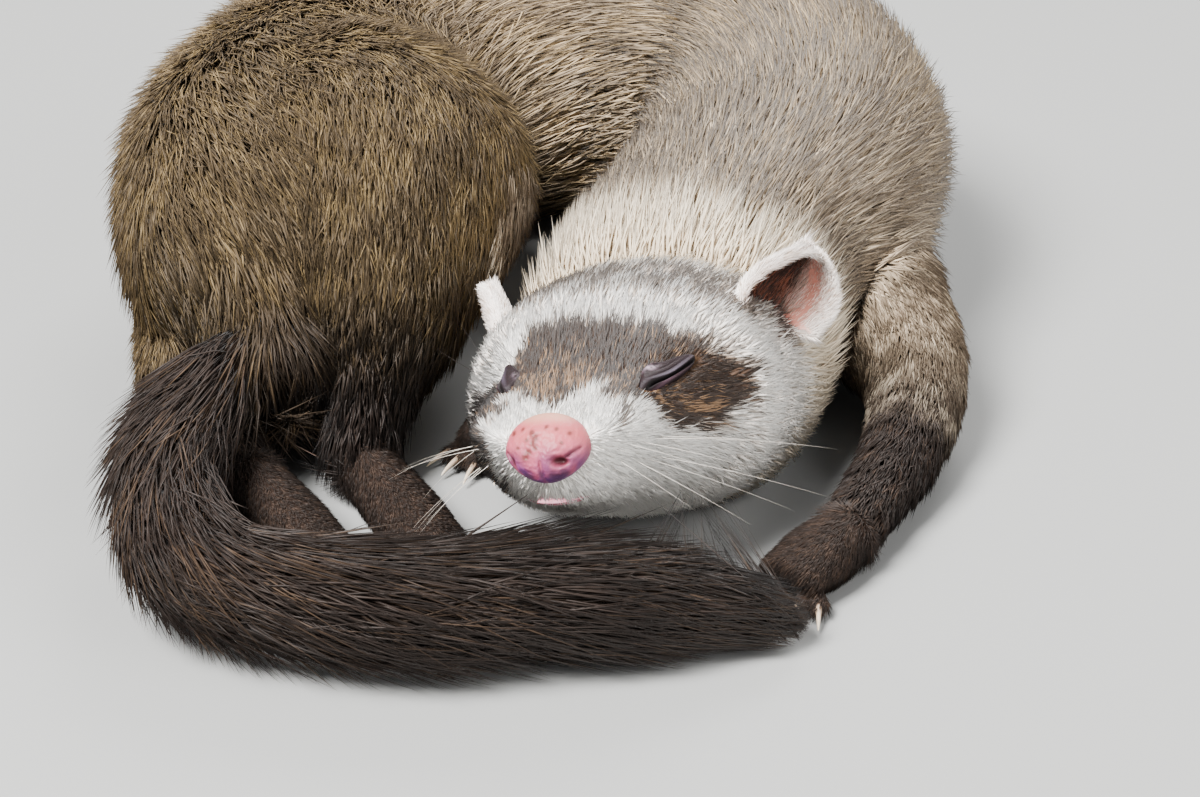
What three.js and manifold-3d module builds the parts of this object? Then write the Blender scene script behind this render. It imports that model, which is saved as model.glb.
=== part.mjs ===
// A life-size ferret, curled up asleep with its chin on its own tail, as a still museum model.
// One long body runs in a ring from the nose to the root of the tail, and is parted into head,
// neck, shoulders, ribs, loin, hips and rump. Ears, closed eyes, nose, jaw, legs, paws and tail
// are pieces of their own. Millimetres, +Z up, the animal faces -Y and rests on z = 0.
import * as THREE from "three";
import { mergeVertices } from "three/addons/utils/BufferGeometryUtils.js";
import Module from "manifold-3d";

const wasm = await Module();
wasm.setup();

const degrees = THREE.MathUtils.degToRad;
const vec = (x, y, z) => new THREE.Vector3(x, y, z);

// Where the head is held: the point between the eyes, and how it turns.
const EYE_MIDDLE = vec(0, -50, 35);
const HEAD_YAW = 18;
const HEAD_PITCH = 16.5;
const HEAD_ROLL = 10.2;

// Room between neighbouring pieces, and the height of the floor.
const GAP = 0.3;
const FLOOR = 0;

// The head's own axis runs below the eyes, and the nose tip lies this far in front of them.
const AXIS_DROP = 6;
const NOSE_AHEAD = 26;

// Colours of the coat and skin.
const COLOURS = {
  white: 0xece6dc,
  taupe: 0x85735f,
  dark: 0x3b2c25,
  nose: 0xd98f93,
  ear: 0xdcb3a8,
  lid: 0x3a2e33,
};

// Half sizes of the body at named places: how far from the nose tip, to the animal's left and
// right, above and below the line that the body follows, and how square the section is.
const BODY_STATIONS = [
  { name: "lip front", at: 1.4, left: 2.6, right: 2.6, top: -0.4, bottom: 6.2, square: 2 },
  { name: "lips", at: 4, left: 8, right: 8.4, top: 1.2, bottom: 10, square: 2.1 },
  { name: "whisker pads", at: 9.5, left: 12.6, right: 13.2, top: 4.2, bottom: 12.6, square: 2.2 },
  { name: "bridge", at: 17, left: 15, right: 15.8, top: 8.4, bottom: 14.4, square: 2.2 },
  { name: "eyes", at: 25, left: 18.4, right: 18.4, top: 12.6, bottom: 15.6, square: 2.2 },
  { name: "brow", at: 33, left: 22, right: 22, top: 16.2, bottom: 17.2, square: 2.2 },
  { name: "cheeks", at: 43, left: 25, right: 25, top: 19, bottom: 19.2, square: 2.15 },
  { name: "crown", at: 53, left: 25.6, right: 25.6, top: 20, bottom: 20.4, square: 2.1 },
  { name: "nape", at: 66, left: 26, right: 28, top: 20.6, bottom: 21, square: 2.1 },
  { name: "neck", at: 90, left: 26, right: 31, top: 23, bottom: 23, square: 2.1 },
  { name: "shoulders", at: 122, left: 31, right: 31, top: 27, bottom: 28, square: 2.2 },
  { name: "ribs", at: 165, left: 33, right: 29, top: 30, bottom: 31, square: 2.2 },
  { name: "last rib", at: 210, left: 33, right: 30, top: 30, bottom: 31, square: 2.2 },
  { name: "loin", at: 246, left: 32, right: 30, top: 29, bottom: 31, square: 2.2 },
  { name: "hips", at: 290, left: 33, right: 30, top: 31, bottom: 31, square: 2.2 },
  { name: "rump", at: 322, left: 28, right: 27, top: 26, bottom: 28, square: 2.1 },
  { name: "tail root", at: 353, left: 10.4, right: 10.4, top: 10.8, bottom: 13, square: 2 },
];

// The line that the trunk follows behind the head.
const TRUNK_LINE = {
  neck: vec(21, 8, 24),
  shoulders: vec(33, 36, 27),
  ribs: vec(34, 68, 29),
  lastRib: vec(15, 93, 30),
  loin: vec(-12, 98, 30),
  flank: vec(-38, 84, 30),
  hips: vec(-51, 53, 30),
  rump: vec(-54, 17, 28),
  tailRoot: vec(-50, -20, 20),
};

// Where the body is parted into nodes, measured from the nose tip along it.
const PARTED = [
  { name: "neck", from: 62, to: 100, colour: "taupe" },
  { name: "shoulders", from: 100, to: 142, colour: "taupe" },
  { name: "ribcage", from: 142, to: 190, colour: "taupe" },
  { name: "loin", from: 190, to: 236, colour: "taupe" },
  { name: "hips", from: 236, to: 286, colour: "taupe" },
  { name: "rump", from: 286, to: 353, colour: "dark" },
];
const HEAD_FROM = 1.4;
const HEAD_TO = PARTED[0].from;
const HEAD_STEP = 2.7;
const TRUNK_STEP = 7;
const BODY_SIDES = 26;

// Swellings and hollows of the head, each a smooth bump on both sides: the distance from the
// nose tip, the angle up from the side, the height, and the reach along and round the head.
const HEAD_RELIEF = [
  { name: "whisker pad", at: 9, angle: -8, height: 0.9, along: 5, round: 22 },
  { name: "eye hollow", at: 23.5, angle: 30, height: -1.3, along: 5, round: 16 },
  { name: "brow ridge", at: 31, angle: 52, height: 0.7, along: 6, round: 14 },
  { name: "cheek", at: 41, angle: -18, height: 1.2, along: 9, round: 26 },
  { name: "bridge dip", at: 21, angle: 90, height: -0.8, along: 7, round: 26 },
];

// The head's own frame: x to its left, y to its back, z up, with the eye middle at the origin.
function headMatrix() {
  const yaw = degrees(HEAD_YAW);
  const pitch = degrees(HEAD_PITCH);
  const roll = degrees(HEAD_ROLL);
  const ahead = vec(
    -Math.sin(yaw) * Math.cos(pitch),
    -Math.cos(yaw) * Math.cos(pitch),
    Math.sin(pitch),
  );
  const levelLeft = vec(Math.cos(yaw), -Math.sin(yaw), 0);
  const levelUp = ahead.clone().cross(levelLeft);
  const left = levelLeft.clone().multiplyScalar(Math.cos(roll));
  left.addScaledVector(levelUp, Math.sin(roll));
  const up = levelUp.clone().multiplyScalar(Math.cos(roll));
  up.addScaledVector(levelLeft, -Math.sin(roll));
  return new THREE.Matrix4()
    .makeBasis(left, ahead.negate(), up)
    .setPosition(EYE_MIDDLE);
}
const HEAD = headMatrix();
const onHead = (x, y, z) => vec(x, y, z).applyMatrix4(HEAD);
const headTurn = (x, y, z) => vec(x, y, z).transformDirection(HEAD);

// A curve through points, as three.js draws it, with its length and its place at a distance.
function lineThrough(points) {
  const curve = new THREE.CatmullRomCurve3(points, false, "centripetal");
  curve.arcLengthDivisions = 600;
  const length = curve.getLength();
  return {
    length,
    at: (distance) => curve.getPointAt(THREE.MathUtils.clamp(distance / length, 0, 1)),
    along: (distance) => curve.getTangentAt(THREE.MathUtils.clamp(distance / length, 0, 1)),
  };
}

const SPINE = lineThrough([
  onHead(0, -NOSE_AHEAD, -AXIS_DROP),
  onHead(0, 0, -AXIS_DROP),
  onHead(0, NOSE_AHEAD - 2, -AXIS_DROP),
  onHead(0, NOSE_AHEAD + 16, -AXIS_DROP),
  ...Object.values(TRUNK_LINE),
]);

// A value between named stations, on a smooth curve that never swings past them.
function between(stations, key, at) {
  const n = stations.length;
  const slope = (i) => {
    if (i === 0 || i === n - 1) return 0;
    const before = stations[i].at - stations[i - 1].at;
    const after = stations[i + 1].at - stations[i].at;
    const rise = (stations[i][key] - stations[i - 1][key]) / before;
    const next = (stations[i + 1][key] - stations[i][key]) / after;
    return rise * next <= 0 ? 0 : (2 * rise * next) / (rise + next);
  };
  let i = 0;
  while (i < n - 2 && at > stations[i + 1].at) i++;
  const [a, b] = [stations[i], stations[i + 1]];
  const span = b.at - a.at;
  const t = THREE.MathUtils.clamp((at - a.at) / span, 0, 1);
  const fall = (1 + 2 * t) * (1 - t) ** 2;
  const lift = t * t * (3 - 2 * t);
  const bend = t * (1 - t) ** 2 * slope(i) - t * t * (1 - t) * slope(i + 1);
  return fall * a[key] + lift * b[key] + bend * span;
}

// The body's frame at a distance from the nose: centre, left, up and tailward. The head's own
// up turns into the world's up along the neck.
const NECK_TURN = { from: 52, to: 112 };

function bodyFrame(at) {
  const centre = SPINE.at(at);
  const tailward = SPINE.along(at);
  const turned = THREE.MathUtils.smoothstep(at, NECK_TURN.from, NECK_TURN.to);
  const up = headTurn(0, 0, 1).lerp(vec(0, 0, 1), turned);
  up.addScaledVector(tailward, -up.dot(tailward)).normalize();
  const left = tailward.clone().cross(up);
  return { centre, left, up, tailward };
}

// How far the head's relief lifts the surface at a distance from the nose and an angle up from
// the side: a sum of bumps that fall off as a bell curve.
function relief(at, turn) {
  const up = Math.asin(Math.sin(turn)) / degrees(1);
  let lift = 0;
  for (const b of HEAD_RELIEF) {
    const off = ((at - b.at) / b.along) ** 2 + ((up - b.angle) / b.round) ** 2;
    lift += b.height * Math.exp(-off);
  }
  return lift;
}

// The body's section at a distance from the nose: a superellipse with its own half sizes to the
// left, right, top and bottom, pressed flat where it meets the floor.
function bodyRing(at, grow, shift = 0) {
  const { centre, left, up, tailward } = bodyFrame(at);
  centre.addScaledVector(tailward, shift);
  const size = (key) => between(BODY_STATIONS, key, at);
  const square = size("square");
  return Array.from({ length: BODY_SIDES }, (_, i) => {
    const turn = ((i + 0.5) / BODY_SIDES) * 2 * Math.PI;
    const [c, s] = [Math.cos(turn), Math.sin(turn)];
    const full = (Math.abs(c) ** square + Math.abs(s) ** square) ** (-1 / square);
    const more = grow + relief(at, turn);
    const wide = (c > 0 ? size("left") : size("right")) + more;
    const high = (s > 0 ? size("top") : size("bottom")) + more;
    const p = centre.clone();
    p.addScaledVector(left, c * full * wide).addScaledVector(up, s * full * high);
    p.z = Math.max(p.z, FLOOR - grow);
    return p;
  });
}

// A closed surface over rings with equally many points, with a cone to a point or a flat at each
// end, turned so that its faces point out.
function skinOver(rings, start, end) {
  const sides = rings[0].length;
  const middle = (ring) => {
    const sum = ring.reduce((a, p) => a.add(p), vec(0, 0, 0));
    return sum.divideScalar(ring.length);
  };
  const points = rings.flat();
  const first = points.push(start ?? middle(rings[0])) - 1;
  const last = points.push(end ?? middle(rings.at(-1))) - 1;
  const faces = [];
  const tail = (rings.length - 1) * sides;
  for (let j = 0; j < sides; j++) {
    const k = (j + 1) % sides;
    faces.push(first, k, j, last, tail + j, tail + k);
    for (let i = 0; i < rings.length - 1; i++) {
      const [a, b] = [i * sides + j, i * sides + k];
      const [c, d] = [a + sides, b + sides];
      const oneWay = points[a].distanceToSquared(points[d]);
      const otherWay = points[b].distanceToSquared(points[c]);
      if (oneWay < otherWay) faces.push(a, b, d, a, d, c);
      else faces.push(a, b, c, b, d, c);
    }
  }
  return solidFrom(points, faces);
}

// A manifold-3d solid from points and faces, turned right side out.
function solidFrom(points, faces) {
  const origin = points[0];
  let volume = 0;
  for (let i = 0; i < faces.length; i += 3) {
    const [a, b, c] = [0, 1, 2].map((k) => points[faces[i + k]].clone().sub(origin));
    volume += a.dot(b.cross(c));
  }
  const triVerts = Uint32Array.from(faces);
  if (volume < 0)
    for (let i = 0; i < triVerts.length; i += 3)
      [triVerts[i + 1], triVerts[i + 2]] = [triVerts[i + 2], triVerts[i + 1]];
  const vertProperties = Float32Array.from(points.flatMap((p) => p.toArray()));
  return new wasm.Manifold(new wasm.Mesh({ numProp: 3, vertProperties, triVerts }));
}

// A three.js shape as a solid, in the place that a matrix gives it.
function solidOf(geometry, matrix) {
  const plain = geometry.clone();
  plain.deleteAttribute("normal");
  plain.deleteAttribute("uv");
  if (matrix) plain.applyMatrix4(matrix);
  const merged = mergeVertices(plain, 1e-4);
  const vertProperties = merged.attributes.position.array;
  const triVerts = new Uint32Array(merged.index.array);
  return new wasm.Manifold(new wasm.Mesh({ numProp: 3, vertProperties, triVerts }));
}

// An egg-shaped solid: its half sizes, its turn in degrees and its centre, set in a frame.
function egg(half, centre, turn = [0, 0, 0], frame = new THREE.Matrix4(), detail = [16, 10]) {
  const place = new THREE.Matrix4().compose(
    vec(...centre),
    new THREE.Quaternion().setFromEuler(new THREE.Euler(...turn.map(degrees))),
    vec(...half),
  );
  return solidOf(new THREE.SphereGeometry(1, ...detail), place.premultiply(frame));
}

// A length of the body between two distances from the nose.
function bodyLength(from, to, step, grow = 0, ends = [GAP / 2, -GAP / 2]) {
  const count = Math.max(2, Math.round((to - from) / step));
  const rings = Array.from({ length: count + 1 }, (_, i) => {
    const at = from + ((to - from) * i) / count;
    const shift = i === 0 ? ends[0] - grow : i === count ? ends[1] + grow : 0;
    return bodyRing(at, grow, shift);
  });
  return skinOver(rings);
}

// A limb's line through its joints, and its half width and half height along it.
function limbPlan(joints, grow) {
  const line = lineThrough(joints.map((j) => vec(...j.at)));
  const samples = 200;
  const stations = joints.map((joint) => {
    let [best, at] = [Infinity, 0];
    for (let k = 0; k <= samples; k++) {
      const here = (line.length * k) / samples;
      const off = line.at(here).distanceTo(vec(...joint.at));
      if (off < best) [best, at] = [off, here];
    }
    return { at, wide: joint.wide + grow, high: joint.high + grow };
  });
  return { line, stations };
}

// The frame of a limb at a distance along its line: centre, along, side and its own upward way.
function limbFrame(line, at) {
  const along = line.along(at);
  const high = vec(0, 0, 1).addScaledVector(along, -along.z).normalize();
  return { centre: line.at(at), along, high, side: along.clone().cross(high) };
}

// A limb or tail: rings round a line through joints, each joint with its own half width and
// half height, rounded at both ends and pressed flat on the floor. The round end reaches past
// the line by a share of the half height, with rings at two leans before its tip.
const ROUND_END = { reach: 0.55, leans: [0.55, 0.85] };

function limb(joints, { grow = 0, step = 7, sides = 14 } = {}) {
  const { line, stations } = limbPlan(joints, grow);
  const count = Math.max(3, Math.round(line.length / step));
  const ring = (at, shrink, push) => {
    const { centre, along, high, side } = limbFrame(line, at);
    centre.addScaledVector(along, push);
    const [w, h] = [between(stations, "wide", at), between(stations, "high", at)];
    return Array.from({ length: sides }, (_, i) => {
      const turn = ((i + 0.5) / sides) * 2 * Math.PI;
      const p = centre.clone();
      p.addScaledVector(side, Math.cos(turn) * w * shrink);
      p.addScaledVector(high, Math.sin(turn) * h * shrink);
      return p.setZ(Math.max(p.z, FLOOR - grow));
    });
  };
  const reach = (at) => between(stations, "high", at) * ROUND_END.reach;
  const cap = (at, sign) =>
    ROUND_END.leans.map((lean) => ring(at, Math.sqrt(1 - lean * lean), sign * reach(at) * lean));
  const tip = (at, sign) => line.at(at).addScaledVector(line.along(at), sign * reach(at));
  const middle = Array.from({ length: count + 1 }, (_, i) => ring((line.length * i) / count, 1, 0));
  const all = [...cap(0, -1).reverse(), ...middle, ...cap(line.length, 1)];
  return skinOver(all, tip(0, -1), tip(line.length, 1));
}

// Legs, as joints from the trunk to the wrist or heel.
const LEGS = {
  foreleg_left: [
    { at: [42, 30, 21], wide: 14, high: 16 },
    { at: [54, 0, 12], wide: 10.4, high: 12.2 },
    { at: [51, -22, 8.2], wide: 8, high: 8.6 },
    { at: [42, -44, 6.2], wide: 6.4, high: 6.5 },
  ],
  foreleg_right: [
    { at: [16, 40, 20], wide: 11, high: 13 },
    { at: [-2, 20, 10.6], wide: 9, high: 10.4 },
    { at: [-10, 2, 6.8], wide: 6.6, high: 7 },
  ],
  hindleg_right: [
    { at: [-47, 56, 34], wide: 24, high: 23 },
    { at: [-37, 24, 36], wide: 29.5, high: 24 },
    { at: [-35, -4, 26], wide: 18.2, high: 18 },
    { at: [-37, -21, 10], wide: 9.4, high: 10 },
  ],
  hindleg_left: [
    { at: [-64, 26, 13], wide: 14, high: 13 },
    { at: [-67, 0, 10], wide: 11, high: 10.4 },
    { at: [-58, -24, 7], wide: 7.4, high: 7.3 },
  ],
};

// Paws: the heel, where the toes start, half the width and height, and the toes' fan in degrees.
// The palm's widths and heights are shares of these at its heel, its middle and its toes.
const PAWS = {
  forepaw_left: { heel: [40, -47.4, 5.3], toes: [31, -59, 4.6], wide: 6.6, high: 5.6, fan: 34 },
  forepaw_right: { heel: [-12, -1, 5.2], toes: [-17, -13, 4.4], wide: 6.2, high: 5.4, fan: 34 },
  hindpaw_right: { heel: [-36, -26, 5.8], toes: [-24, -50, 4.6], wide: 6.4, high: 6, fan: 24 },
  hindpaw_left: { heel: [-54, -29.4, 5.4], toes: [-41, -53, 4.6], wide: 6.4, high: 5.7, fan: 24 },
};
const PALM = { wide: [0.86, 1, 0.94], high: [1, 0.95, 0.8], middle: 0.6 };
const TOES = { count: 5, wide: 2.2, long: 4.2, high: 2.3, outerShrink: 0.16, spread: 0.74, setBack: 1.6 };
const CLAW = { long: 5.6, wide: 1.5, high: 1.5, droop: 1.5, rootShare: 0.62, rootLift: 0.5 };

// The tail, from its root at the rump round to its tip under the chin.
const TAIL_LINE = [
  { at: [-51, -3, 24], wide: 10.4, high: 11.4 },
  { at: [-65, -42, 16], wide: 11.5, high: 12 },
  { at: [-58, -68, 12.4], wide: 12, high: 12.4 },
  { at: [-34, -80, 12.4], wide: 12, high: 12.4 },
  { at: [-7, -78, 12], wide: 11.6, high: 12.2 },
  { at: [14, -75, 9.4], wide: 8.6, high: 9.4 },
  { at: [27, -73, 6], wide: 3.6, high: 4.4 },
];

const group = new THREE.Group();
const made = new Map();

// Adds a solid to the model as a named mesh, keeping only its largest closed surface.
function addNode(name, solid, colour, roughness = 0.9) {
  const largest = solid.decompose().reduce((a, b) => (a.volume() > b.volume() ? a : b));
  made.set(name, largest);
  const mesh = largest.getMesh();
  const geometry = new THREE.BufferGeometry();
  geometry.setAttribute("position", new THREE.BufferAttribute(mesh.vertProperties, 3));
  geometry.setIndex(new THREE.BufferAttribute(mesh.triVerts, 1));
  geometry.computeVertexNormals();
  const material = new THREE.MeshStandardMaterial({ color: COLOURS[colour], roughness, metalness: 0 });
  const node = new THREE.Mesh(geometry, material);
  node.name = name;
  group.add(node);
}

// Nose pad: a blunt leathery button with two comma nostrils and a groove down its middle.
const NOSE = { half: [6.4, 4.6, 4.8], centre: [0, -23.6, -8.2], tilt: 14 };
const NOSTRIL = { half: [1.5, 2.4, 1.15], centre: [3.1, -27.6, -8.9], tilt: 0 };
const NOSTRIL_SLIT = { half: [2.6, 2.2, 0.45], centre: [5.2, -25.6, -8.2], tilt: 24 };
const NOSE_GROOVE = { half: [0.45, 2, 3.4], centre: [0, -28, -10.6] };

function nosePad(grow = 0) {
  const half = NOSE.half.map((h) => h + grow);
  return egg(half, NOSE.centre, [NOSE.tilt, 0, 0], HEAD, [14, 9]);
}

function nose() {
  let pad = nosePad();
  for (const side of [1, -1]) {
    for (const { half, centre, tilt } of [NOSTRIL, NOSTRIL_SLIT]) {
      const [x, y, z] = centre;
      pad = pad.subtract(egg(half, [side * x, y, z], [0, -side * tilt, 0], HEAD, [8, 6]));
    }
  }
  return pad.subtract(egg(NOSE_GROOVE.half, NOSE_GROOVE.centre, [0, 0, 0], HEAD, [6, 6]));
}

// Closed eye: a low mound with the slit between the lids, lower at its inner corner.
const EYE = { half: [2.8, 5.4, 3.3], centre: [12.5, -3.4, 0.5], yaw: 33 };
const LID_SLIT = { half: [1.4, 5, 0.34], below: 0.6, tilt: 15 };

function eyeFrame(side) {
  const turn = new THREE.Matrix4().makeRotationZ(degrees(side * -EYE.yaw));
  const place = new THREE.Matrix4().makeTranslation(side * EYE.centre[0], EYE.centre[1], EYE.centre[2]);
  return HEAD.clone().multiply(place).multiply(turn);
}

function eyeMound(side, grow = 0) {
  const half = EYE.half.map((h) => h + grow);
  return egg(half, [0, 0, 0], [0, 0, 0], eyeFrame(side), [14, 10]);
}

function eye(side) {
  const { half, below, tilt } = LID_SLIT;
  const centre = [side * EYE.half[0], 0, -below];
  return eyeMound(side).subtract(egg(half, centre, [tilt, 0, 0], eyeFrame(side), [8, 8]));
}

// Ear: a round cup of skin with a thick rim, open to the front and the side. Its belly is how
// much wider it is half way up, and its cup grows shallower to the sides and to the tip.
const EAR = { wide: 8.6, high: 13.8, deep: 6.2, thick: 1.6, sunk: 4.2 };
const EAR_SHAPE = { width: 0.84, belly: 0.3, cupAcross: 0.85, cupUp: 0.62, thinRim: 0.35, tip: 0.985 };
const EAR_HELD = {
  left: { root: [23.8, 29, 5.4], lean: 28, yaw: 50 },
  right: { root: [23.8, 27.5, 2.8], lean: 14, yaw: 62 },
};

function earFrame(side) {
  const held = EAR_HELD[side > 0 ? "left" : "right"];
  const [x, y, z] = held.root;
  const lean = new THREE.Matrix4().makeRotationY(degrees(side * held.lean));
  const turn = new THREE.Matrix4().makeRotationZ(degrees(side * held.yaw));
  const place = new THREE.Matrix4().makeTranslation(side * x, y, z);
  return HEAD.clone().multiply(place).multiply(lean).multiply(turn);
}

// A point of the ear's sheet: a round outline that bulges to the back, by its share across,
// from -1 to 1, its share up, from 0 to 1, and how far it lies in front of the back face.
function earPoint(across, share, front) {
  const { width, belly, cupAcross, cupUp, thinRim, tip } = EAR_SHAPE;
  const up = tip * Math.sin((share * Math.PI) / 2);
  const outline = Math.sqrt(1 - up * up) * (width + belly * Math.sin(Math.PI * up));
  const cup = EAR.deep * (1 - cupAcross * across * across) * (1 - cupUp * up * up);
  const thick = EAR.thick * (1 - thinRim * across * across);
  return [across * EAR.wide * outline, cup - front * thick, up * EAR.high - EAR.sunk];
}

function ear(side) {
  const [acrossSteps, upSteps] = [10, 7];
  const frame = earFrame(side);
  const sheet = (front) =>
    Array.from({ length: upSteps + 1 }, (_, j) =>
      Array.from({ length: acrossSteps + 1 }, (_, i) => {
        const across = (2 * i) / acrossSteps - 1;
        const [x, y, z] = earPoint(across, j / upSteps, front);
        return vec(side * x, y, z).applyMatrix4(frame);
      }),
    );
  const [back, inner] = [sheet(0), sheet(1)];
  return skinOver(back.map((row, j) => [...row, ...inner[j].reverse()]));
}

// The groove from under the nose to the upper lip.
const PHILTRUM = { half: [0.4, 3, 2.6], centre: [0, -24.6, -13.2] };

// The line of the mouth, seen from the side, from under the nose to its corner, and the outline
// of all that lies below it, as the block that parts the jaw from the head.
const MOUTH = {
  front: [-30, -14.2],
  lip: [-20, -15.4],
  middle: [-9, -16.2],
  corner: [0, -13.6],
  hinge: [3.6, -16],
  below: -34,
  halfWidth: 40,
};

function jawBlock(grow) {
  const shape = new THREE.Shape();
  shape.moveTo(MOUTH.front[0] - grow, MOUTH.below);
  shape.lineTo(MOUTH.front[0] - grow, MOUTH.front[1] + grow);
  shape.splineThru([
    new THREE.Vector2(MOUTH.lip[0], MOUTH.lip[1] + grow),
    new THREE.Vector2(MOUTH.middle[0], MOUTH.middle[1] + grow),
    new THREE.Vector2(MOUTH.corner[0], MOUTH.corner[1] + grow),
    new THREE.Vector2(MOUTH.hinge[0] + grow, MOUTH.hinge[1]),
  ]);
  shape.lineTo(MOUTH.hinge[0] + grow, MOUTH.below);
  const depth = 2 * MOUTH.halfWidth;
  const block = new THREE.ExtrudeGeometry(shape, { depth, bevelEnabled: false, curveSegments: 6 });
  const turned = new THREE.Matrix4().makeBasis(vec(0, 1, 0), vec(0, 0, 1), vec(1, 0, 0));
  turned.setPosition(-MOUTH.halfWidth, 0, 0);
  return solidOf(block, turned.premultiply(HEAD));
}

// A tapered blade, such as a claw or a lock of fur: its section is a lens with four corners, it
// is widest a little past its root and ends in a point. place(t) gives its middle, its side and
// its outward way at a share of its length from 0 to 1.
const BLADE_SHARES = [0, 0.4, 0.78];
const BLADE_CORNERS = [[1, 0], [0, 1], [-1, 0], [0, -1]];
const onFloor = (p) => p.setZ(Math.max(p.z, FLOOR));

function blade(place, wide, high) {
  const ring = (t) => {
    const { middle, side, out } = place(t);
    const swell = Math.sqrt(1 - t) * (0.74 + 1.1 * t * (1 - t));
    return BLADE_CORNERS.map(([u, v]) => {
      const p = middle.clone().addScaledVector(side, (u * swell * wide) / 2);
      return onFloor(p.addScaledVector(out, (v * swell * high) / 2));
    });
  };
  return skinOver(BLADE_SHARES.map(ring), onFloor(place(-0.02).middle), onFloor(place(1).middle));
}

// A claw that leaves its toe and droops to the floor.
function claw(root, way, size) {
  const out = vec(0, 0, 1);
  const side = vec(-way.y, way.x, 0);
  const place = (t) => {
    const middle = root.clone().addScaledVector(way, CLAW.long * size * t);
    return { middle: middle.addScaledVector(out, -CLAW.droop * t * t), side, out };
  };
  return blade(place, CLAW.wide, CLAW.high);
}

// A paw: a palm with toes fanned out from it, each with its claw.
function paw({ heel, toes, wide, high, fan }) {
  const [start, end] = [vec(...heel), vec(...toes)];
  const ahead = end.clone().sub(start).setZ(0).normalize();
  const side = vec(-ahead.y, ahead.x, 0);
  const middle = start.clone().lerp(end, PALM.middle);
  const joints = [heel, middle.toArray(), toes].map((at, i) => {
    return { at, wide: wide * PALM.wide[i], high: high * PALM.high[i] };
  });
  const pieces = [limb(joints, { step: 9, sides: 9 })];
  for (let i = 0; i < TOES.count; i++) {
    const share = (2 * i) / (TOES.count - 1) - 1;
    const turn = degrees(fan * share);
    const way = ahead.clone().multiplyScalar(Math.cos(turn)).addScaledVector(side, Math.sin(turn));
    const size = 1 - TOES.outerShrink * Math.abs(share);
    const middleOfToe = end.clone().addScaledVector(side, share * wide * TOES.spread);
    middleOfToe.addScaledVector(way, TOES.long / 2 - TOES.setBack * Math.abs(share));
    middleOfToe.z = TOES.high * size * PALM.wide[2];
    const frame = new THREE.Matrix4().makeBasis(way, vec(-way.y, way.x, 0), vec(0, 0, 1));
    frame.setPosition(middleOfToe);
    const half = [TOES.long * size, TOES.wide * size, TOES.high * size];
    pieces.push(egg(half, [0, 0, 0], [0, 0, 0], frame, [6, 4]));
    const clawRoot = middleOfToe.addScaledVector(way, TOES.long * size * CLAW.rootShare);
    pieces.push(claw(clawRoot.add(vec(0, 0, CLAW.rootLift)), way, size));
  }
  return wasm.Manifold.union(pieces).trimByPlane([0, 0, 1], FLOOR);
}

// Random shares from 0 to 1 that are the same on each run.
function seededShares(seed) {
  let state = seed;
  return () => {
    state = (state * 1664525 + 1013904223) % 4294967296;
    return state / 4294967296;
  };
}

// The brush of the tail: a core with rows of flat locks that lie towards the tip and lift off it
// to the tail's full half width. Shares are of that half width. Underneath, where the tail is
// pressed on the floor, it has no locks.
const BRUSH = {
  core: 0.68,
  root: 0.5,
  tip: 1.02,
  firstRow: 10,
  rowStep: 12,
  lockWide: 11.6,
  lockHigh: 3.2,
  lockLong: 26,
  between: 12,
  packed: 0.8,
  rise: 0.55,
  lowest: -0.6,
  lastRow: 6,
  closeIn: 9,
  vary: { size: 0.2, reach: 0.06, turn: 0.3 },
  seed: 20,
};

function tailCore(grow = 0) {
  const joints = TAIL_LINE.map((j) => ({ at: j.at, wide: j.wide * BRUSH.core, high: j.high * BRUSH.core }));
  return limb(joints, { sides: 10, step: 8, grow });
}

// Locks in rows round the tail, each row turned by half a lock against the one before it. A lock
// follows the tail's own line, so that it bends with it, rises from the core to its tip as a
// power of its share, and closes in past the end of the line.
function tailLocks() {
  const { line, stations } = limbPlan(TAIL_LINE, 0);
  const share = seededShares(BRUSH.seed);
  const locks = [];
  const { vary } = BRUSH;
  const lastAt = line.length - BRUSH.lastRow;
  for (let at = BRUSH.firstRow, row = 0; at < lastAt; at += BRUSH.rowStep, row++) {
    const half = (between(stations, "wide", at) + between(stations, "high", at)) / 2;
    const count = Math.max(5, Math.round((2 * Math.PI * half * BRUSH.packed) / BRUSH.between));
    for (let i = 0; i < count; i++) {
      const turn = ((i + (row % 2) / 2 + vary.turn * (share() - 0.5)) / count) * 2 * Math.PI;
      const size = 1 + vary.size * (2 * share() - 1);
      const reach = BRUSH.tip + vary.reach * (2 * share() - 1);
      if (Math.sin(turn) < BRUSH.lowest) continue;
      const place = (t) => {
        const here = at + t * BRUSH.lockLong * size;
        const past = Math.max(0, here - line.length);
        const { centre, along, high, side } = limbFrame(line, Math.min(here, line.length));
        const off = BRUSH.root + (reach - BRUSH.root) * Math.max(0, t) ** BRUSH.rise;
        const closing = 1 / (1 + past / BRUSH.closeIn);
        const wide = between(stations, "wide", here) * off * closing;
        const tall = between(stations, "high", here) * off * closing;
        const middle = centre.addScaledVector(along, past);
        middle.addScaledVector(side, Math.cos(turn) * wide).addScaledVector(high, Math.sin(turn) * tall);
        const out = side.clone().multiplyScalar(Math.cos(turn)).addScaledVector(high, Math.sin(turn));
        return { middle, side: along.clone().cross(out), out };
      };
      locks.push(blade(place, BRUSH.lockWide * size, BRUSH.lockHigh));
    }
  }
  return locks;
}

// The whole body, grown by the gap, is what legs, paws and tail are cut clear of.
const bodyCutter = bodyLength(HEAD_FROM, PARTED.at(-1).to, TRUNK_STEP * 0.75, GAP);

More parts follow.
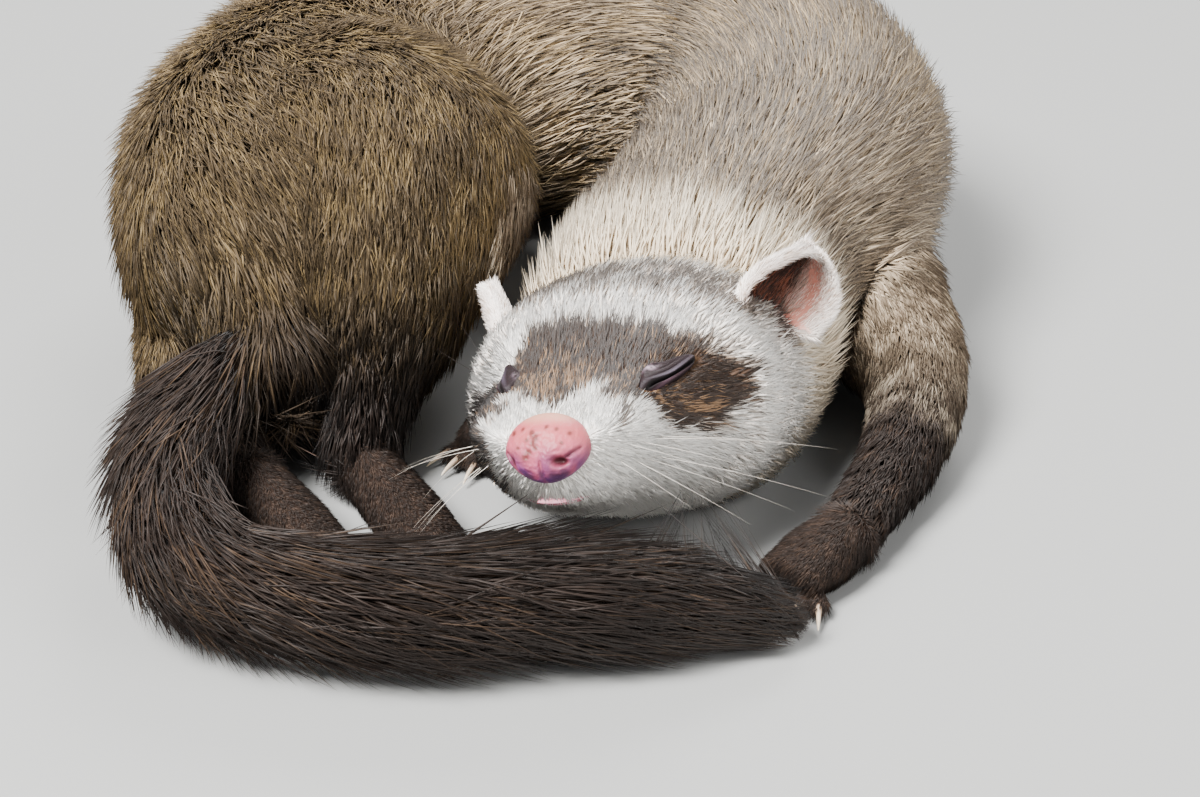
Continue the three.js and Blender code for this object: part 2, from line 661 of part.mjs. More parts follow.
function head() {
  const whole = bodyLength(HEAD_FROM, HEAD_TO, HEAD_STEP, 0, [0, -GAP / 2]);
  const groove = egg(PHILTRUM.half, PHILTRUM.centre, [0, 0, 0], HEAD, [6, 6]);
  let skull = whole.subtract(jawBlock(GAP)).subtract(nosePad(GAP)).subtract(groove);
  for (const side of [1, -1]) skull = skull.subtract(eyeMound(side, GAP));
  return { skull, jaw: whole.intersect(jawBlock(0)).subtract(nosePad(GAP)) };
}

const { skull, jaw } = head();
const headCutter = bodyLength(HEAD_FROM, HEAD_TO, HEAD_STEP, GAP, [0, 0]);
addNode("head", skull, "white");
addNode("lower_jaw", jaw, "white");
addNode("nose", nose(), "nose", 0.45);
for (const [name, side] of [["left", 1], ["right", -1]]) {
  addNode(`eye_${name}`, eye(side), "lid", 0.6);
  addNode(`ear_${name}`, ear(side).subtract(headCutter).subtract(bodyCutter), "ear", 0.7);
}
for (const part of PARTED) {
  addNode(part.name, bodyLength(part.from, part.to, TRUNK_STEP), part.colour);
}

// Each of these is cut clear of the body and of all that was laid down before it.
const laid = [bodyCutter, headCutter];
const clearOf = (solid, others) => others.reduce((s, other) => s.subtract(other), solid);
for (const [name, joints] of Object.entries(LEGS)) {
  addNode(name, clearOf(limb(joints), laid), "dark");
  laid.push(limb(joints, { grow: GAP }));
}
for (const [name, shape] of Object.entries(PAWS)) {
  const grown = { ...shape, wide: shape.wide + GAP, high: shape.high + GAP };
  addNode(name, clearOf(paw(shape), laid), "dark");
  laid.push(paw(grown));
}

// The tail in lengths, parted square to its own line at these distances from its root.
const TAIL_PARTED = [
  { name: "tail_base", to: 54 },
  { name: "tail_middle", to: 98 },
  { name: "tail_tip", to: Infinity },
];

function addTail() {
  const { line } = limbPlan(TAIL_LINE, 0);
  let rest = clearOf(wasm.Manifold.union([tailCore(), ...tailLocks()]), laid);
  for (const { name, to } of TAIL_PARTED) {
    if (to === Infinity) {
      addNode(name, rest, "dark");
      return;
    }
    const along = line.along(to);
    const offset = along.dot(line.at(to));
    const [beyond, before] = rest.splitByPlane(along.toArray(), offset + GAP / 2);
    const back = along.clone().negate().toArray();
    addNode(name, before.trimByPlane(back, -(offset - GAP / 2)), "dark");
    rest = beyond;
  }
}
addTail();

// The model stands with the middle of its outline over the origin.
const outline = new THREE.Box3();
for (const solid of made.values()) {
  const { min, max } = solid.boundingBox();
  outline.union(new THREE.Box3(vec(...min), vec(...max)));
}
const centre = outline.getCenter(vec(0, 0, 0));
group.position.set(-centre.x, -centre.y, 0);

export default group;
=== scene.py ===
"""A life-size ferret asleep in a ring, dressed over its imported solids.

One skin runs from the nose to the tip of the tail and over the legs and paws. Over it lies a coat
of solid mesh tufts, with the nose, lids, ears, claws and whiskers as pieces of their own.
"""

import math

import bpy
import numpy as np
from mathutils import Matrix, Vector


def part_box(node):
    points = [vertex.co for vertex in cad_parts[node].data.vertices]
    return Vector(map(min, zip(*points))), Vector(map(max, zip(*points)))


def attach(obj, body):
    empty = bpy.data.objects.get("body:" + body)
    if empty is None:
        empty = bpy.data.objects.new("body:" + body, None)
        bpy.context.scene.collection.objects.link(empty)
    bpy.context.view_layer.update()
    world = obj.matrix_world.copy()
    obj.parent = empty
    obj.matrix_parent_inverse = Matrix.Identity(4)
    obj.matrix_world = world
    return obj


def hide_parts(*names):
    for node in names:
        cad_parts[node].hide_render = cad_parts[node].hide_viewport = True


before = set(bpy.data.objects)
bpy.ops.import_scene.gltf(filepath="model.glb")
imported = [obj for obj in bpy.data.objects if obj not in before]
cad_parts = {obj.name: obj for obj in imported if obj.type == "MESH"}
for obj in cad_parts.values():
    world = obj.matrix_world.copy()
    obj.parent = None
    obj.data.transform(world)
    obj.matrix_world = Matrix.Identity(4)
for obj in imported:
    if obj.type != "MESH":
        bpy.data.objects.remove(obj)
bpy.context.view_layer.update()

MM = 0.001

# The head: the point between the eyes in millimetres, and how the head is turned, in degrees.
EYE_MIDDLE = np.array([0.0, -50.0, 35.0])
HEAD_YAW, HEAD_PITCH, HEAD_ROLL = 18.0, 16.5, 10.2
AXIS_DROP = 6.0
NOSE_AHEAD = 26.0

# Half sizes of the furred body at distances from the nose tip: left, right, top, bottom, and how
# square its section is.
BODY_STATIONS = np.array([
    [1.4, 2.6, 2.6, -0.4, 6.2, 2.0],
    [4, 8, 8.4, 1.2, 10, 2.1],
    [9.5, 12.6, 13.2, 4.2, 12.6, 2.2],
    [17, 15, 15.8, 8.4, 14.4, 2.2],
    [25, 18.4, 18.4, 12.6, 15.6, 2.2],
    [33, 22, 22, 16.2, 17.2, 2.2],
    [43, 25, 25, 19, 19.2, 2.15],
    [53, 25.6, 25.6, 20, 20.4, 2.1],
    [66, 26, 28, 20.6, 21, 2.1],
    [90, 26, 31, 23, 23, 2.1],
    [122, 31, 31, 27, 28, 2.2],
    [165, 33, 29, 30, 31, 2.2],
    [210, 33, 30, 30, 31, 2.2],
    [246, 32, 30, 29, 31, 2.2],
    [290, 33, 30, 31, 31, 2.2],
    [322, 28, 27, 26, 28, 2.1],
    [353, 10.4, 10.4, 10.8, 13, 2.0],
])
TRUNK_LINE = [
    [21, 8, 24], [33, 36, 27], [34, 68, 29], [15, 93, 30], [-12, 98, 30],
    [-38, 84, 30], [-51, 53, 30], [-54, 17, 28], [-50, -20, 20],
]
BODY_FROM, BODY_TO = 1.4, 353.0
NECK_TURN = (52.0, 112.0)

# Swellings and hollows of the head: distance from the nose tip, angle up from the side, height,
# and the reach along and round the head.
HEAD_RELIEF = [
    (9, -8, 0.9, 5, 22), (23.5, 30, -1.3, 5, 16), (31, 52, 0.7, 6, 14),
    (41, -18, 1.2, 9, 26), (21, 90, -0.8, 7, 26),
]

# Depth of the coat over the skin, in millimetres, at distances from the nose tip.
COAT_DEPTH = np.array([
    [0, 0.5], [6, 0.8], [14, 1.3], [26, 1.8], [38, 2.8], [50, 3.6], [66, 4.6], [90, 6.0],
    [122, 7.4], [165, 8.0], [290, 8.0], [322, 7.0], [353, 4.4],
])

# Legs, as joints from the trunk to the wrist or heel: place, half width, half height.
LEGS = {
    "foreleg_left": [[42, 30, 21, 14, 16], [54, 0, 12, 10.4, 12.2], [51, -22, 8.2, 8, 8.6],
                     [42, -44, 6.2, 6.4, 6.5]],
    "foreleg_right": [[16, 40, 20, 11, 13], [-2, 20, 10.6, 9, 10.4], [-10, 2, 6.8, 6.6, 7]],
    "hindleg_right": [[-47, 56, 34, 24, 23], [-37, 24, 36, 29.5, 24], [-35, -4, 26, 18.2, 18],
                      [-37, -21, 10, 9.4, 10]],
    "hindleg_left": [[-64, 26, 13, 14, 13], [-67, 0, 10, 11, 10.4], [-58, -24, 7, 7.4, 7.3]],
}
LEG_COAT = {"foreleg_left": 2.4, "foreleg_right": 2.4, "hindleg_right": 5.0, "hindleg_left": 3.6}

# Paws: heel, where the toes start, half width, half height and the toes' fan in degrees.
PAWS = {
    "forepaw_left": ([40, -47.4, 5.3], [31, -59, 4.6], 6.6, 5.6, 34),
    "forepaw_right": ([-12, -1, 5.2], [-17, -13, 4.4], 6.2, 5.4, 34),
    "hindpaw_right": ([-36, -26, 5.8], [-24, -50, 4.6], 6.4, 6.0, 24),
    "hindpaw_left": ([-54, -29.4, 5.4], [-41, -53, 4.6], 6.4, 5.7, 24),
}
PALM_WIDE, PALM_HIGH, PALM_MIDDLE = (0.86, 1.0, 0.94), (1.0, 0.95, 0.8), 0.6
TOES = dict(count=5, wide=2.2, long=4.2, high=2.3, outer_shrink=0.16, spread=0.74, set_back=1.6)
# Claws: length, width, height, droop at the tip, where they leave the toe as a share of its
# length, how far above its middle, and their lowest place above the floor.
CLAW = dict(long=5.6, wide=1.1, high=1.4, droop=1.5, root=0.55, lift=0.5, rest=0.12)
PAW_COAT = 0.9

# The tail, from its root to its tip: place, half width and half height out to the coat's tips.
TAIL_LINE = [
    [-51, -3, 24, 10.4, 11.4], [-65, -42, 16, 11.5, 12], [-58, -68, 12.4, 12, 12.4],
    [-34, -80, 12.4, 12, 12.4], [-7, -78, 12, 11.6, 12.2], [14, -75, 9.4, 8.6, 9.4],
    [27, -73, 6, 3.6, 4.4],
]
TAIL_SKIN = 0.5

# The lowest that skin and hair lie above the floor.
SKIN_REST, HAIR_REST = 0.9, 0.05


# Vectors and curves.

def unit(v):
    """Vectors along the last axis, each divided by its own length."""
    return v / np.maximum(np.linalg.norm(v, axis=-1, keepdims=True), 1e-9)


def dot(a, b):
    """Row by row dot product."""
    return np.einsum("...k,...k->...", a, b)


def smoothstep(x, low, high):
    """0 below low, 1 above high and 3t^2 - 2t^3 between them."""
    t = np.clip((x - low) / (high - low), 0, 1)
    return t * t * (3 - 2 * t)


def bell(x, width):
    """exp(-(x / width)^2)."""
    return np.exp(-(x / width) ** 2)


def head_axes():
    """The head's own left, back and up: yaw about the world's up, then pitch, then roll."""
    yaw, pitch, roll = np.radians([HEAD_YAW, HEAD_PITCH, HEAD_ROLL])
    ahead = np.array([-math.sin(yaw) * math.cos(pitch), -math.cos(yaw) * math.cos(pitch),
                      math.sin(pitch)])
    level_left = np.array([math.cos(yaw), -math.sin(yaw), 0])
    level_up = np.cross(ahead, level_left)
    left = level_left * math.cos(roll) + level_up * math.sin(roll)
    up = level_up * math.cos(roll) - level_left * math.sin(roll)
    return np.array([left, -ahead, up])


HEAD = head_axes()


def on_head(points):
    """Points of the head's frame, in millimetres, as world points."""
    return np.asarray(points, float) @ HEAD + EYE_MIDDLE


def head_place(points):
    """World points in the head's frame: x left, y back, z up."""
    return (points - EYE_MIDDLE) @ HEAD.T


class Line:
    """A centripetal Catmull-Rom curve through points, read by its distance along."""

    def __init__(self, points):
        p = np.asarray(points, float)
        self.p = np.vstack([2 * p[0] - p[1], p, 2 * p[-1] - p[-2]])
        self.count = len(p) - 1
        share = np.linspace(0, 1, 601)
        steps = np.linalg.norm(np.diff(self.point(share), axis=0), axis=1)
        self.share, self.reach = share, np.concatenate([[0], np.cumsum(steps)])
        self.length = self.reach[-1]

    def point(self, share):
        """Each span is a cubic whose end slopes weigh the neighbours by the root of distance."""
        t = np.clip(share, 0, 1) * self.count
        i = np.minimum(t.astype(int), self.count - 1)
        t = (t - i)[..., None]
        p0, p1, p2, p3 = (self.p[i + k] for k in range(4))
        d0, d1, d2 = (np.sqrt(np.linalg.norm(b - a, axis=-1, keepdims=True))
                      for a, b in ((p0, p1), (p1, p2), (p2, p3)))
        m1 = ((p1 - p0) / d0 - (p2 - p0) / (d0 + d1) + (p2 - p1) / d1) * d1
        m2 = ((p2 - p1) / d1 - (p3 - p1) / (d1 + d2) + (p3 - p2) / d2) * d1
        return p1 + m1 * t + (3 * (p2 - p1) - 2 * m1 - m2) * t**2 + (2 * (p1 - p2) + m1 + m2) * t**3

    def at(self, distance):
        return self.point(np.interp(distance, self.reach, self.share))

    def along(self, distance):
        share = np.interp(distance, self.reach, self.share)
        step = 1e-4
        return unit(self.point(np.minimum(share + step, 1)) - self.point(np.maximum(share - step, 0)))


def between(stations, at):
    """Values between stations on a cubic with harmonic-mean slopes, which never swings past them."""
    x, y = stations[:, 0], stations[:, 1:]
    rise = np.diff(y, axis=0) / np.diff(x)[:, None]
    product = rise[:-1] * rise[1:]
    total = np.where(product > 0, rise[:-1] + rise[1:], 1)
    inner = np.where(product > 0, 2 * product / total, 0)
    slope = np.vstack([0 * y[:1], inner, 0 * y[:1]])
    at = np.clip(at, x[0], x[-1])
    i = np.clip(np.searchsorted(x, at, side="right") - 1, 0, len(x) - 2)
    span = (x[i + 1] - x[i])[..., None]
    t = (at - x[i])[..., None] / span
    fall, lift = (1 + 2 * t) * (1 - t) ** 2, t * t * (3 - 2 * t)
    bend = t * (1 - t) ** 2 * slope[i] - t * t * (1 - t) * slope[i + 1]
    return fall * y[i] + lift * y[i + 1] + bend * span


SPINE = Line(np.vstack([
    on_head([[0, -NOSE_AHEAD, -AXIS_DROP], [0, 0, -AXIS_DROP],
             [0, NOSE_AHEAD - 2, -AXIS_DROP], [0, NOSE_AHEAD + 16, -AXIS_DROP]]),
    TRUNK_LINE,
]))


def body_frame(at):
    """The spine's centre, left, up and tailward; the head's up turns to the world's up."""
    centre, tailward = SPINE.at(at), SPINE.along(at)
    turned = smoothstep(at, *NECK_TURN)[..., None]
    up = HEAD[2] * (1 - turned) + np.array([0, 0, 1]) * turned
    up = unit(up - tailward * dot(up, tailward)[..., None])
    return centre, np.cross(tailward, up), up, tailward


def body_relief(at, turn):
    """The head's bumps: each is a bell curve along and round, alike on both sides."""
    up = np.degrees(np.arcsin(np.sin(turn)))
    return sum(h * bell(at - a, along) * bell(up - angle, wide)
               for a, angle, h, along, wide in HEAD_RELIEF)


def body_sizes(at, turn):
    """Half width and half height on the side that turn looks to, and the section's squareness."""
    s = between(BODY_STATIONS, at)
    wide = np.where(np.cos(turn) > 0, s[..., 0], s[..., 1])
    high = np.where(np.sin(turn) > 0, s[..., 2], s[..., 3])
    return wide, high, s[..., 4]


def body_point(at, turn, grow=0.0):
    """A superellipse round the spine, grown outwards by a distance."""
    centre, left, up, _ = body_frame(at)
    wide, high, square = body_sizes(at, turn)
    c, s = np.cos(turn), np.sin(turn)
    full = (np.abs(c) ** square + np.abs(s) ** square) ** (-1 / square)
    more = body_relief(at, turn) + grow
    across, above = c * full * (wide + more), s * full * (high + more)
    return centre + left * across[..., None] + up * above[..., None]


def coat_depth(at):
    return np.interp(at, COAT_DEPTH[:, 0], COAT_DEPTH[:, 1])


class Limb:
    """A limb through joints: its line, and its half width and half height along it."""

    def __init__(self, joints):
        joints = np.asarray(joints, float)
        self.line = Line(joints[:, :3])
        samples = np.linspace(0, self.line.length, 201)
        off = np.linalg.norm(self.line.at(samples)[None] - joints[:, None, :3], axis=2)
        self.stations = np.column_stack([samples[off.argmin(axis=1)], joints[:, 3:5]])
        self.length = self.line.length

    def frame(self, at):
        along = self.line.along(at)
        high = unit(np.array([0, 0, 1]) - along * along[..., 2:3])
        return self.line.at(at), along, high, np.cross(along, high)

    def sizes(self, at):
        s = between(self.stations, at)
        return s[..., 0], s[..., 1]

    def grid(self, steps, sides, grow=0.0, share=1.0, reach=0.55, floor=SKIN_REST):
        """Rings round the line, closing in as a half circle past each end."""
        lean = np.linspace(0, math.pi / 2, 7)[:-1]
        ends = np.array([0.0, self.length])
        push = self.sizes(ends)[1] * share * reach
        at = np.concatenate([np.zeros(6), np.linspace(0, self.length, steps), np.full(6, self.length)])
        shift = np.concatenate([-push[0] * np.sin(lean[::-1]), np.zeros(steps), push[1] * np.sin(lean)])
        shrink = np.concatenate([np.cos(lean[::-1]), np.ones(steps), np.cos(lean)])
        turn = np.linspace(0, 2 * math.pi, sides, endpoint=False)
        centre, along, high, side = self.frame(at)
        wide, tall = self.sizes(at)
        wide, tall = ((size * share + grow) * shrink for size in (wide, tall))
        rings = (centre + along * shift[:, None])[:, None] \
            + side[:, None] * (np.cos(turn) * wide[:, None])[..., None] \
            + high[:, None] * (np.sin(turn) * tall[:, None])[..., None]
        rings[..., 2] = np.maximum(rings[..., 2], floor)
        return rings


# Meshes.

SHIFT = None


def find_shift():
    """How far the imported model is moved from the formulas' frame, from the loin's own box."""
    loin_from, loin_to, steps, sides, gap = 190.0, 236.0, 7, 26, 0.15
    at = np.linspace(loin_from, loin_to, steps + 1)
    turn = (np.arange(sides) + 0.5) / sides * 2 * math.pi
    rings = body_point(at[:, None] + 0 * turn, turn + 0 * at[:, None])
    _, _, _, tailward = body_frame(at[[0, -1]])
    rings[0] += tailward[0] * gap
    rings[-1] -= tailward[1] * gap
    low, high = (np.array(corner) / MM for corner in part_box("loin"))
    middle = (rings.reshape(-1, 3).min(0) + rings.reshape(-1, 3).max(0)) / 2
    shift = (low + high) / 2 - middle
    return np.array([shift[0], shift[1], 0.0])


def grid_faces(rows, columns, around=True):
    """Quads over a grid of rows, joined round its columns."""
    i = np.arange(rows - 1)[:, None]
    j = np.arange(columns if around else columns - 1)[None]
    k = (j + 1) % columns
    a, b = i * columns + j, i * columns + k
    return np.stack([a, b, b + columns, a + columns], axis=-1).reshape(-1, 4)


def closed_tube(rings):
    """Vertices, quads and end fans of a tube: its first and last rings close on their middles."""
    rows, columns = rings.shape[:2]
    quads = grid_faces(rows, columns)
    points = np.vstack([rings.reshape(-1, 3), rings[0].mean(0), rings[-1].mean(0)])
    j = np.arange(columns)
    k = (j + 1) % columns
    first, last = rows * columns, rows * columns + 1
    base = (rows - 1) * columns
    fans = np.vstack([np.column_stack([k, j, np.full(columns, first)]),
                      np.column_stack([base + j, base + k, np.full(columns, last)])])
    return points, quads, fans


def outward(points, faces):
    """Six times the volume that the faces close in, which is below zero where they face inwards."""
    a, b, c = (points[faces[:, k]] for k in range(3))
    volume = dot(a, np.cross(b, c)).sum()
    if faces.shape[1] == 4:
        volume += dot(a, np.cross(c, points[faces[:, 3]])).sum()
    return volume


def make_mesh(name, points, triangles=None, quads=None, material=None, smooth=True):
    """A Blender mesh object from millimetre points and faces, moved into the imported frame."""
    faces = [f for f in (quads, triangles) if f is not None and len(f)]
    loops = np.concatenate([f.ravel() for f in faces]).astype(np.int32)
    sizes = np.concatenate([np.full(len(f), f.shape[1]) for f in faces]).astype(np.int32)
    mesh = bpy.data.meshes.new(name)
    mesh.vertices.add(len(points))
    mesh.vertices.foreach_set("co", ((points + SHIFT) * MM).astype(np.float32).ravel())
    mesh.loops.add(len(loops))
    mesh.loops.foreach_set("vertex_index", loops)
    mesh.polygons.add(len(sizes))
    mesh.polygons.foreach_set("loop_start", (np.cumsum(sizes) - sizes).astype(np.int32))
    mesh.polygons.foreach_set("use_smooth", np.full(len(sizes), smooth))
    mesh.update(calc_edges=True)
    if material:
        mesh.materials.append(material)
    piece = bpy.data.objects.new(name, mesh)
    bpy.context.scene.collection.objects.link(piece)
    return piece


def paint(piece, name, colours):
    """A colour for each vertex, in linear light."""
    layer = piece.data.attributes.new(name, "FLOAT_COLOR", "POINT")
    rgba = np.ones((len(colours), 4), np.float32)
    rgba[:, :3] = colours
    layer.data.foreach_set("color", rgba.ravel())


SHIFT = find_shift()


# Where a point lies on the body.

def nearest(line, points, step=2.0):
    """The distance along a line of each point's foot: the nearest sample, slid on its tangent."""
    samples = np.append(np.arange(0, line.length, step), line.length)
    centres = line.at(samples)
    i = ((centres**2).sum(1) - 2 * points @ centres.T).argmin(axis=1)
    slide = dot(points - centres[i], line.along(samples)[i])
    return np.clip(samples[i] + np.clip(slide, -step, step), 0, line.length)


# How far the back is rolled to the animal's left, in degrees, at distances from the nose tip.
BACK_ROLL = np.array([[60, 0], [110, 28], [165, 48], [246, 58], [300, 60], [353, 45]])


def past_end(off, along):
    """How far beyond a line's end points lie, from their way off its nearest place; 0 beside it."""
    slack = 1.0
    return np.maximum(np.abs(dot(off, along)) - slack, 0)


def on_body(points):
    """Distance from the nose, turn round the section, share of the half size, and frame."""
    at = nearest(SPINE, points)
    centre, left, up, tailward = body_frame(at)
    across, above = dot(points - centre, left), dot(points - centre, up)
    wide, high, square = body_sizes(at, np.arctan2(above, across))
    turn = np.arctan2(above / high, across / wide)
    share = (np.abs(across / wide) ** square + np.abs(above / high) ** square) ** (1 / square)
    share = np.hypot(share, past_end(points - centre, tailward) / high)
    roll = np.radians(np.interp(at, BACK_ROLL[:, 0], BACK_ROLL[:, 1]))[:, None]
    back = up * np.cos(roll) + left * np.sin(roll)
    return dict(at=at, turn=turn, share=share, along=tailward, back=back)


def on_limb(limb, points):
    """The same for a limb, whose back is its own upward way."""
    at = nearest(limb.line, points)
    centre, along, high_way, side = limb.frame(at)
    across, above = dot(points - centre, side), dot(points - centre, high_way)
    wide, high = limb.sizes(at)
    turn = np.arctan2(above / high, across / wide)
    share = np.hypot(np.hypot(across / wide, above / high), past_end(points - centre, along) / high)
    return dict(at=at, turn=turn, share=share, along=along, back=high_way)


# The skin.

def body_shell():
    """The body's tube, inside the coat, one ring a millimetre on the head and one in two behind."""
    at = np.concatenate([np.arange(BODY_FROM, 60, 1.0), np.arange(60, BODY_TO, 2.0), [BODY_TO]])
    turn = np.linspace(0, 2 * math.pi, 96, endpoint=False)
    rings = body_point(at[:, None] + 0 * turn, turn + 0 * at[:, None], -coat_depth(at)[:, None])
    rings[..., 2] = np.maximum(rings[..., 2], SKIN_REST)
    return closed_tube(rings)


def egg_shell(half, axes, centre, rows=12, columns=16):
    """An ellipsoid of latitude rings round its first axis."""
    lat = np.linspace(0, math.pi, rows + 2)[1:-1]
    lon = np.linspace(0, 2 * math.pi, columns, endpoint=False)
    local = np.stack([np.cos(lat)[:, None] + 0 * lon, np.sin(lat)[:, None] * np.cos(lon),
                      np.sin(lat)[:, None] * np.sin(lon)], axis=-1)
    return closed_tube(centre + (local * half) @ np.asarray(axes))


def toes_of(name):
    """Each toe of a paw: its place on the palm's front, the way it points, the way across it, its
    size and how far its middle lies ahead."""
    heel, toes, wide, _, fan = PAWS[name]
    start, end = np.array(heel, float), np.array(toes, float)
    ahead = unit((end - start) * [1, 1, 0])
    side = np.array([-ahead[1], ahead[0], 0])
    for i in range(TOES["count"]):
        share = 2 * i / (TOES["count"] - 1) - 1
        turn = math.radians(fan * share)
        way = ahead * math.cos(turn) + side * math.sin(turn)
        across = np.array([-way[1], way[0], 0])
        size = 1 - TOES["outer_shrink"] * abs(share)
        reach = TOES["long"] / 2 - TOES["set_back"] * abs(share)
        yield end + side * share * wide * TOES["spread"], way, across, size, reach


def paw_shells(name):
    """A palm and its toes, each toe an ellipsoid fanned out from the palm's front."""
    heel, toes, wide, high, _ = PAWS[name]
    start, end = np.array(heel, float), np.array(toes, float)
    middle = start + (end - start) * PALM_MIDDLE
    joints = [[*p, wide * w, high * h] for p, w, h in zip((start, middle, end), PALM_WIDE, PALM_HIGH)]
    shells = [closed_tube(Limb(joints).grid(16, 32, grow=-PAW_COAT, floor=SKIN_REST / 2))]
    for place, way, across, size, reach in toes_of(name):
        centre = place + way * reach
        centre[2] = TOES["high"] * size * PALM_WIDE[2]
        half = np.array([TOES["long"], TOES["wide"], TOES["high"]]) * size - 0.35
        shells.append(egg_shell(half, [way, across, [0, 0, 1]], centre))
    return shells


def merged(shells):
    """Several closed shells as one list of points, quads and triangles."""
    start = np.cumsum([0] + [len(p) for p, _, _ in shells])
    points = np.vstack([p for p, _, _ in shells])
    quads = np.vstack([q + s for (_, q, _), s in zip(shells, start)])
    fans = np.vstack([f + s for (_, _, f), s in zip(shells, start)])
    return points, quads, fans


def fused(shells, voxel):
    """Overlapping shells made one surface on a grid of voxels of a size in millimetres."""
    turned = []
    for points, quads, fans in shells:
        if outward(points, quads) < 0:
            quads, fans = quads[:, ::-1], fans[:, ::-1]
        turned.append((points, quads, fans))
    points, quads, fans = merged(turned)
    piece = make_mesh("fusing", points, fans, quads)
    remesh = piece.modifiers.new("voxels", "REMESH")
    remesh.mode, remesh.voxel_size, remesh.adaptivity = "VOXEL", voxel * MM, 0.0
    done = piece.evaluated_get(bpy.context.evaluated_depsgraph_get()).to_mesh()
    points = np.empty(len(done.vertices) * 3)
    done.vertices.foreach_get("co", points)
    points = points.reshape(-1, 3) / MM - SHIFT
    quads = np.empty(len(done.loops), np.int32)
    done.loops.foreach_get("vertex_index", quads)
    quads = quads.reshape(-1, 4)
    mesh = piece.data
    bpy.data.objects.remove(piece)
    bpy.data.meshes.remove(mesh)
    return points, quads


def edges_of(faces):
    """Each edge of the faces once, as pairs of vertices."""
    k = faces.shape[1]
    pairs = np.vstack([faces[:, [i, (i + 1) % k]] for i in range(k)])
    return np.unique(np.sort(pairs, axis=1), axis=0)


def gather(values, index, count):
    """Sums rows of values into count places."""
    return np.column_stack([np.bincount(index, values[:, k], count) for k in range(values.shape[1])])


def smoothed(points, edges, share, rounds):
    """Each point moves by its share towards the mean of its neighbours, a number of times."""
    n = len(points)
    a, b = edges.T
    count = np.bincount(a, minlength=n) + np.bincount(b, minlength=n)
    for _ in range(rounds):
        mean = (gather(points[b], a, n) + gather(points[a], b, n)) / count[:, None]
        points = points + (mean - points) * share[:, None]
    return points


def normals_of(points, faces):
    """Area-weighted vertex normals, from the diagonals of the quads or the sides of triangles."""
    a, b, c = (points[faces[:, k]] for k in range(3))
    flat = np.cross(c - a, points[faces[:, 3]] - b) if faces.shape[1] == 4 else np.cross(b - a, c - a)
    n = sum(gather(flat, faces[:, k], len(points)) for k in range(faces.shape[1]))
    return unit(n)


SKIN_VOXEL = 1.25
LIMBS = {name: Limb(joints) for name, joints in LEGS.items()}
TAIL = Limb(TAIL_LINE)


def skin_surface():
    """Body, legs and the tail's core as one surface, with its joins smoothed."""
    shells = [body_shell()]
    for name, limb in LIMBS.items():
        shells.append(closed_tube(limb.grid(60, 48, grow=-LEG_COAT[name])))
    shells.append(closed_tube(TAIL.grid(120, 32, share=TAIL_SKIN)))
    points, quads = fused(shells, SKIN_VOXEL)
    edges = edges_of(quads)
    points = smoothed(points, edges, np.full(len(points), 0.5), 8)
    body = on_body(points)
    on_face = (body["at"] > BODY_FROM + 0.6) * (body["share"] < 1.05)
    keep = (1 - smoothstep(body["at"], 40, 56)) * on_face
    exact = body_point(body["at"], body["turn"], -coat_depth(body["at"]))
    points = points + (exact - points) * keep[:, None]
    points[:, 2] = np.maximum(points[:, 2], SKIN_REST * 0.8)
    return points, quads


skin_points, skin_quads = skin_surface()


# Colours.

def linear(colour):
    """An sRGB hex colour in linear light."""
    value = np.array([int(colour[i:i + 2], 16) for i in (0, 2, 4)]) / 255
    return np.where(value <= 0.04045, value / 12.92, ((value + 0.055) / 1.055) ** 2.4)


# The root colours of the white and cream hair are painted shade: a grey-brown and a darker cream darken each
# hair towards its root, deep in the coat. The cream also stands for the real undercoat under the dark hairs.
WHITE, WHITE_ROOT_SHADED = linear("fffcf6"), linear("ad9f92")
CREAM, ROOT_CREAM_SHADED = linear("ecdcc2"), linear("b39f84")
MASK_DARK, MASK_TAN, MASK_ROOT = linear("33241a"), linear("9f7b58"), linear("463224")
BAND_DARK = linear("55493f")
NECK_DARK, NECK_LIGHT = linear("4d3e31"), linear("bcab94")
BACK_DARK, BACK_LIGHT = linear("423325"), linear("b0956a")
# The haunch's own olive-brown coat, painted darker as the shade that lies on the flank.
HAUNCH_DARK_SHADED, HAUNCH_LIGHT_SHADED, HAUNCH_ROOT_SHADED = linear("483a27"), linear("7f6a47"), linear("4c3f2b")
LEG_DARK, LEG_LIGHT = linear("211813"), linear("3f3026")
TAIL_DARK, TAIL_LIGHT = linear("241a14"), linear("4a3828")


def noise(points, size, seed):
    """Smooth noise from 0 to 1: random values at the corners of cells of a size, blended between."""
    p = points / size + seed * 17.17
    cell = np.floor(p).astype(np.int64)
    f = p - cell
    f = f * f * (3 - 2 * f)
    total = 0
    for k in range(8):
        corner = np.array([k & 1, k >> 1 & 1, k >> 2 & 1])
        weight = np.prod(np.where(corner, f, 1 - f), axis=1)
        total = total + weight * hashed(cell + corner, seed)
    return total


def hashed(cell, seed):
    """A share from 0 to 1 for each whole-number cell, from products of large odd numbers."""
    h = (cell[:, 0] * 73856093) ^ (cell[:, 1] * 19349663) ^ (cell[:, 2] * 83492791)
    h = h ^ (seed * 2654435761)
    h = (h ^ (h >> 13)) * 1274126177
    h = (h ^ (h >> 16)) & 0xFFFFFF
    return h / 0xFFFFFF


def mix(a, b, share):
    return a + (b - a) * share[:, None]


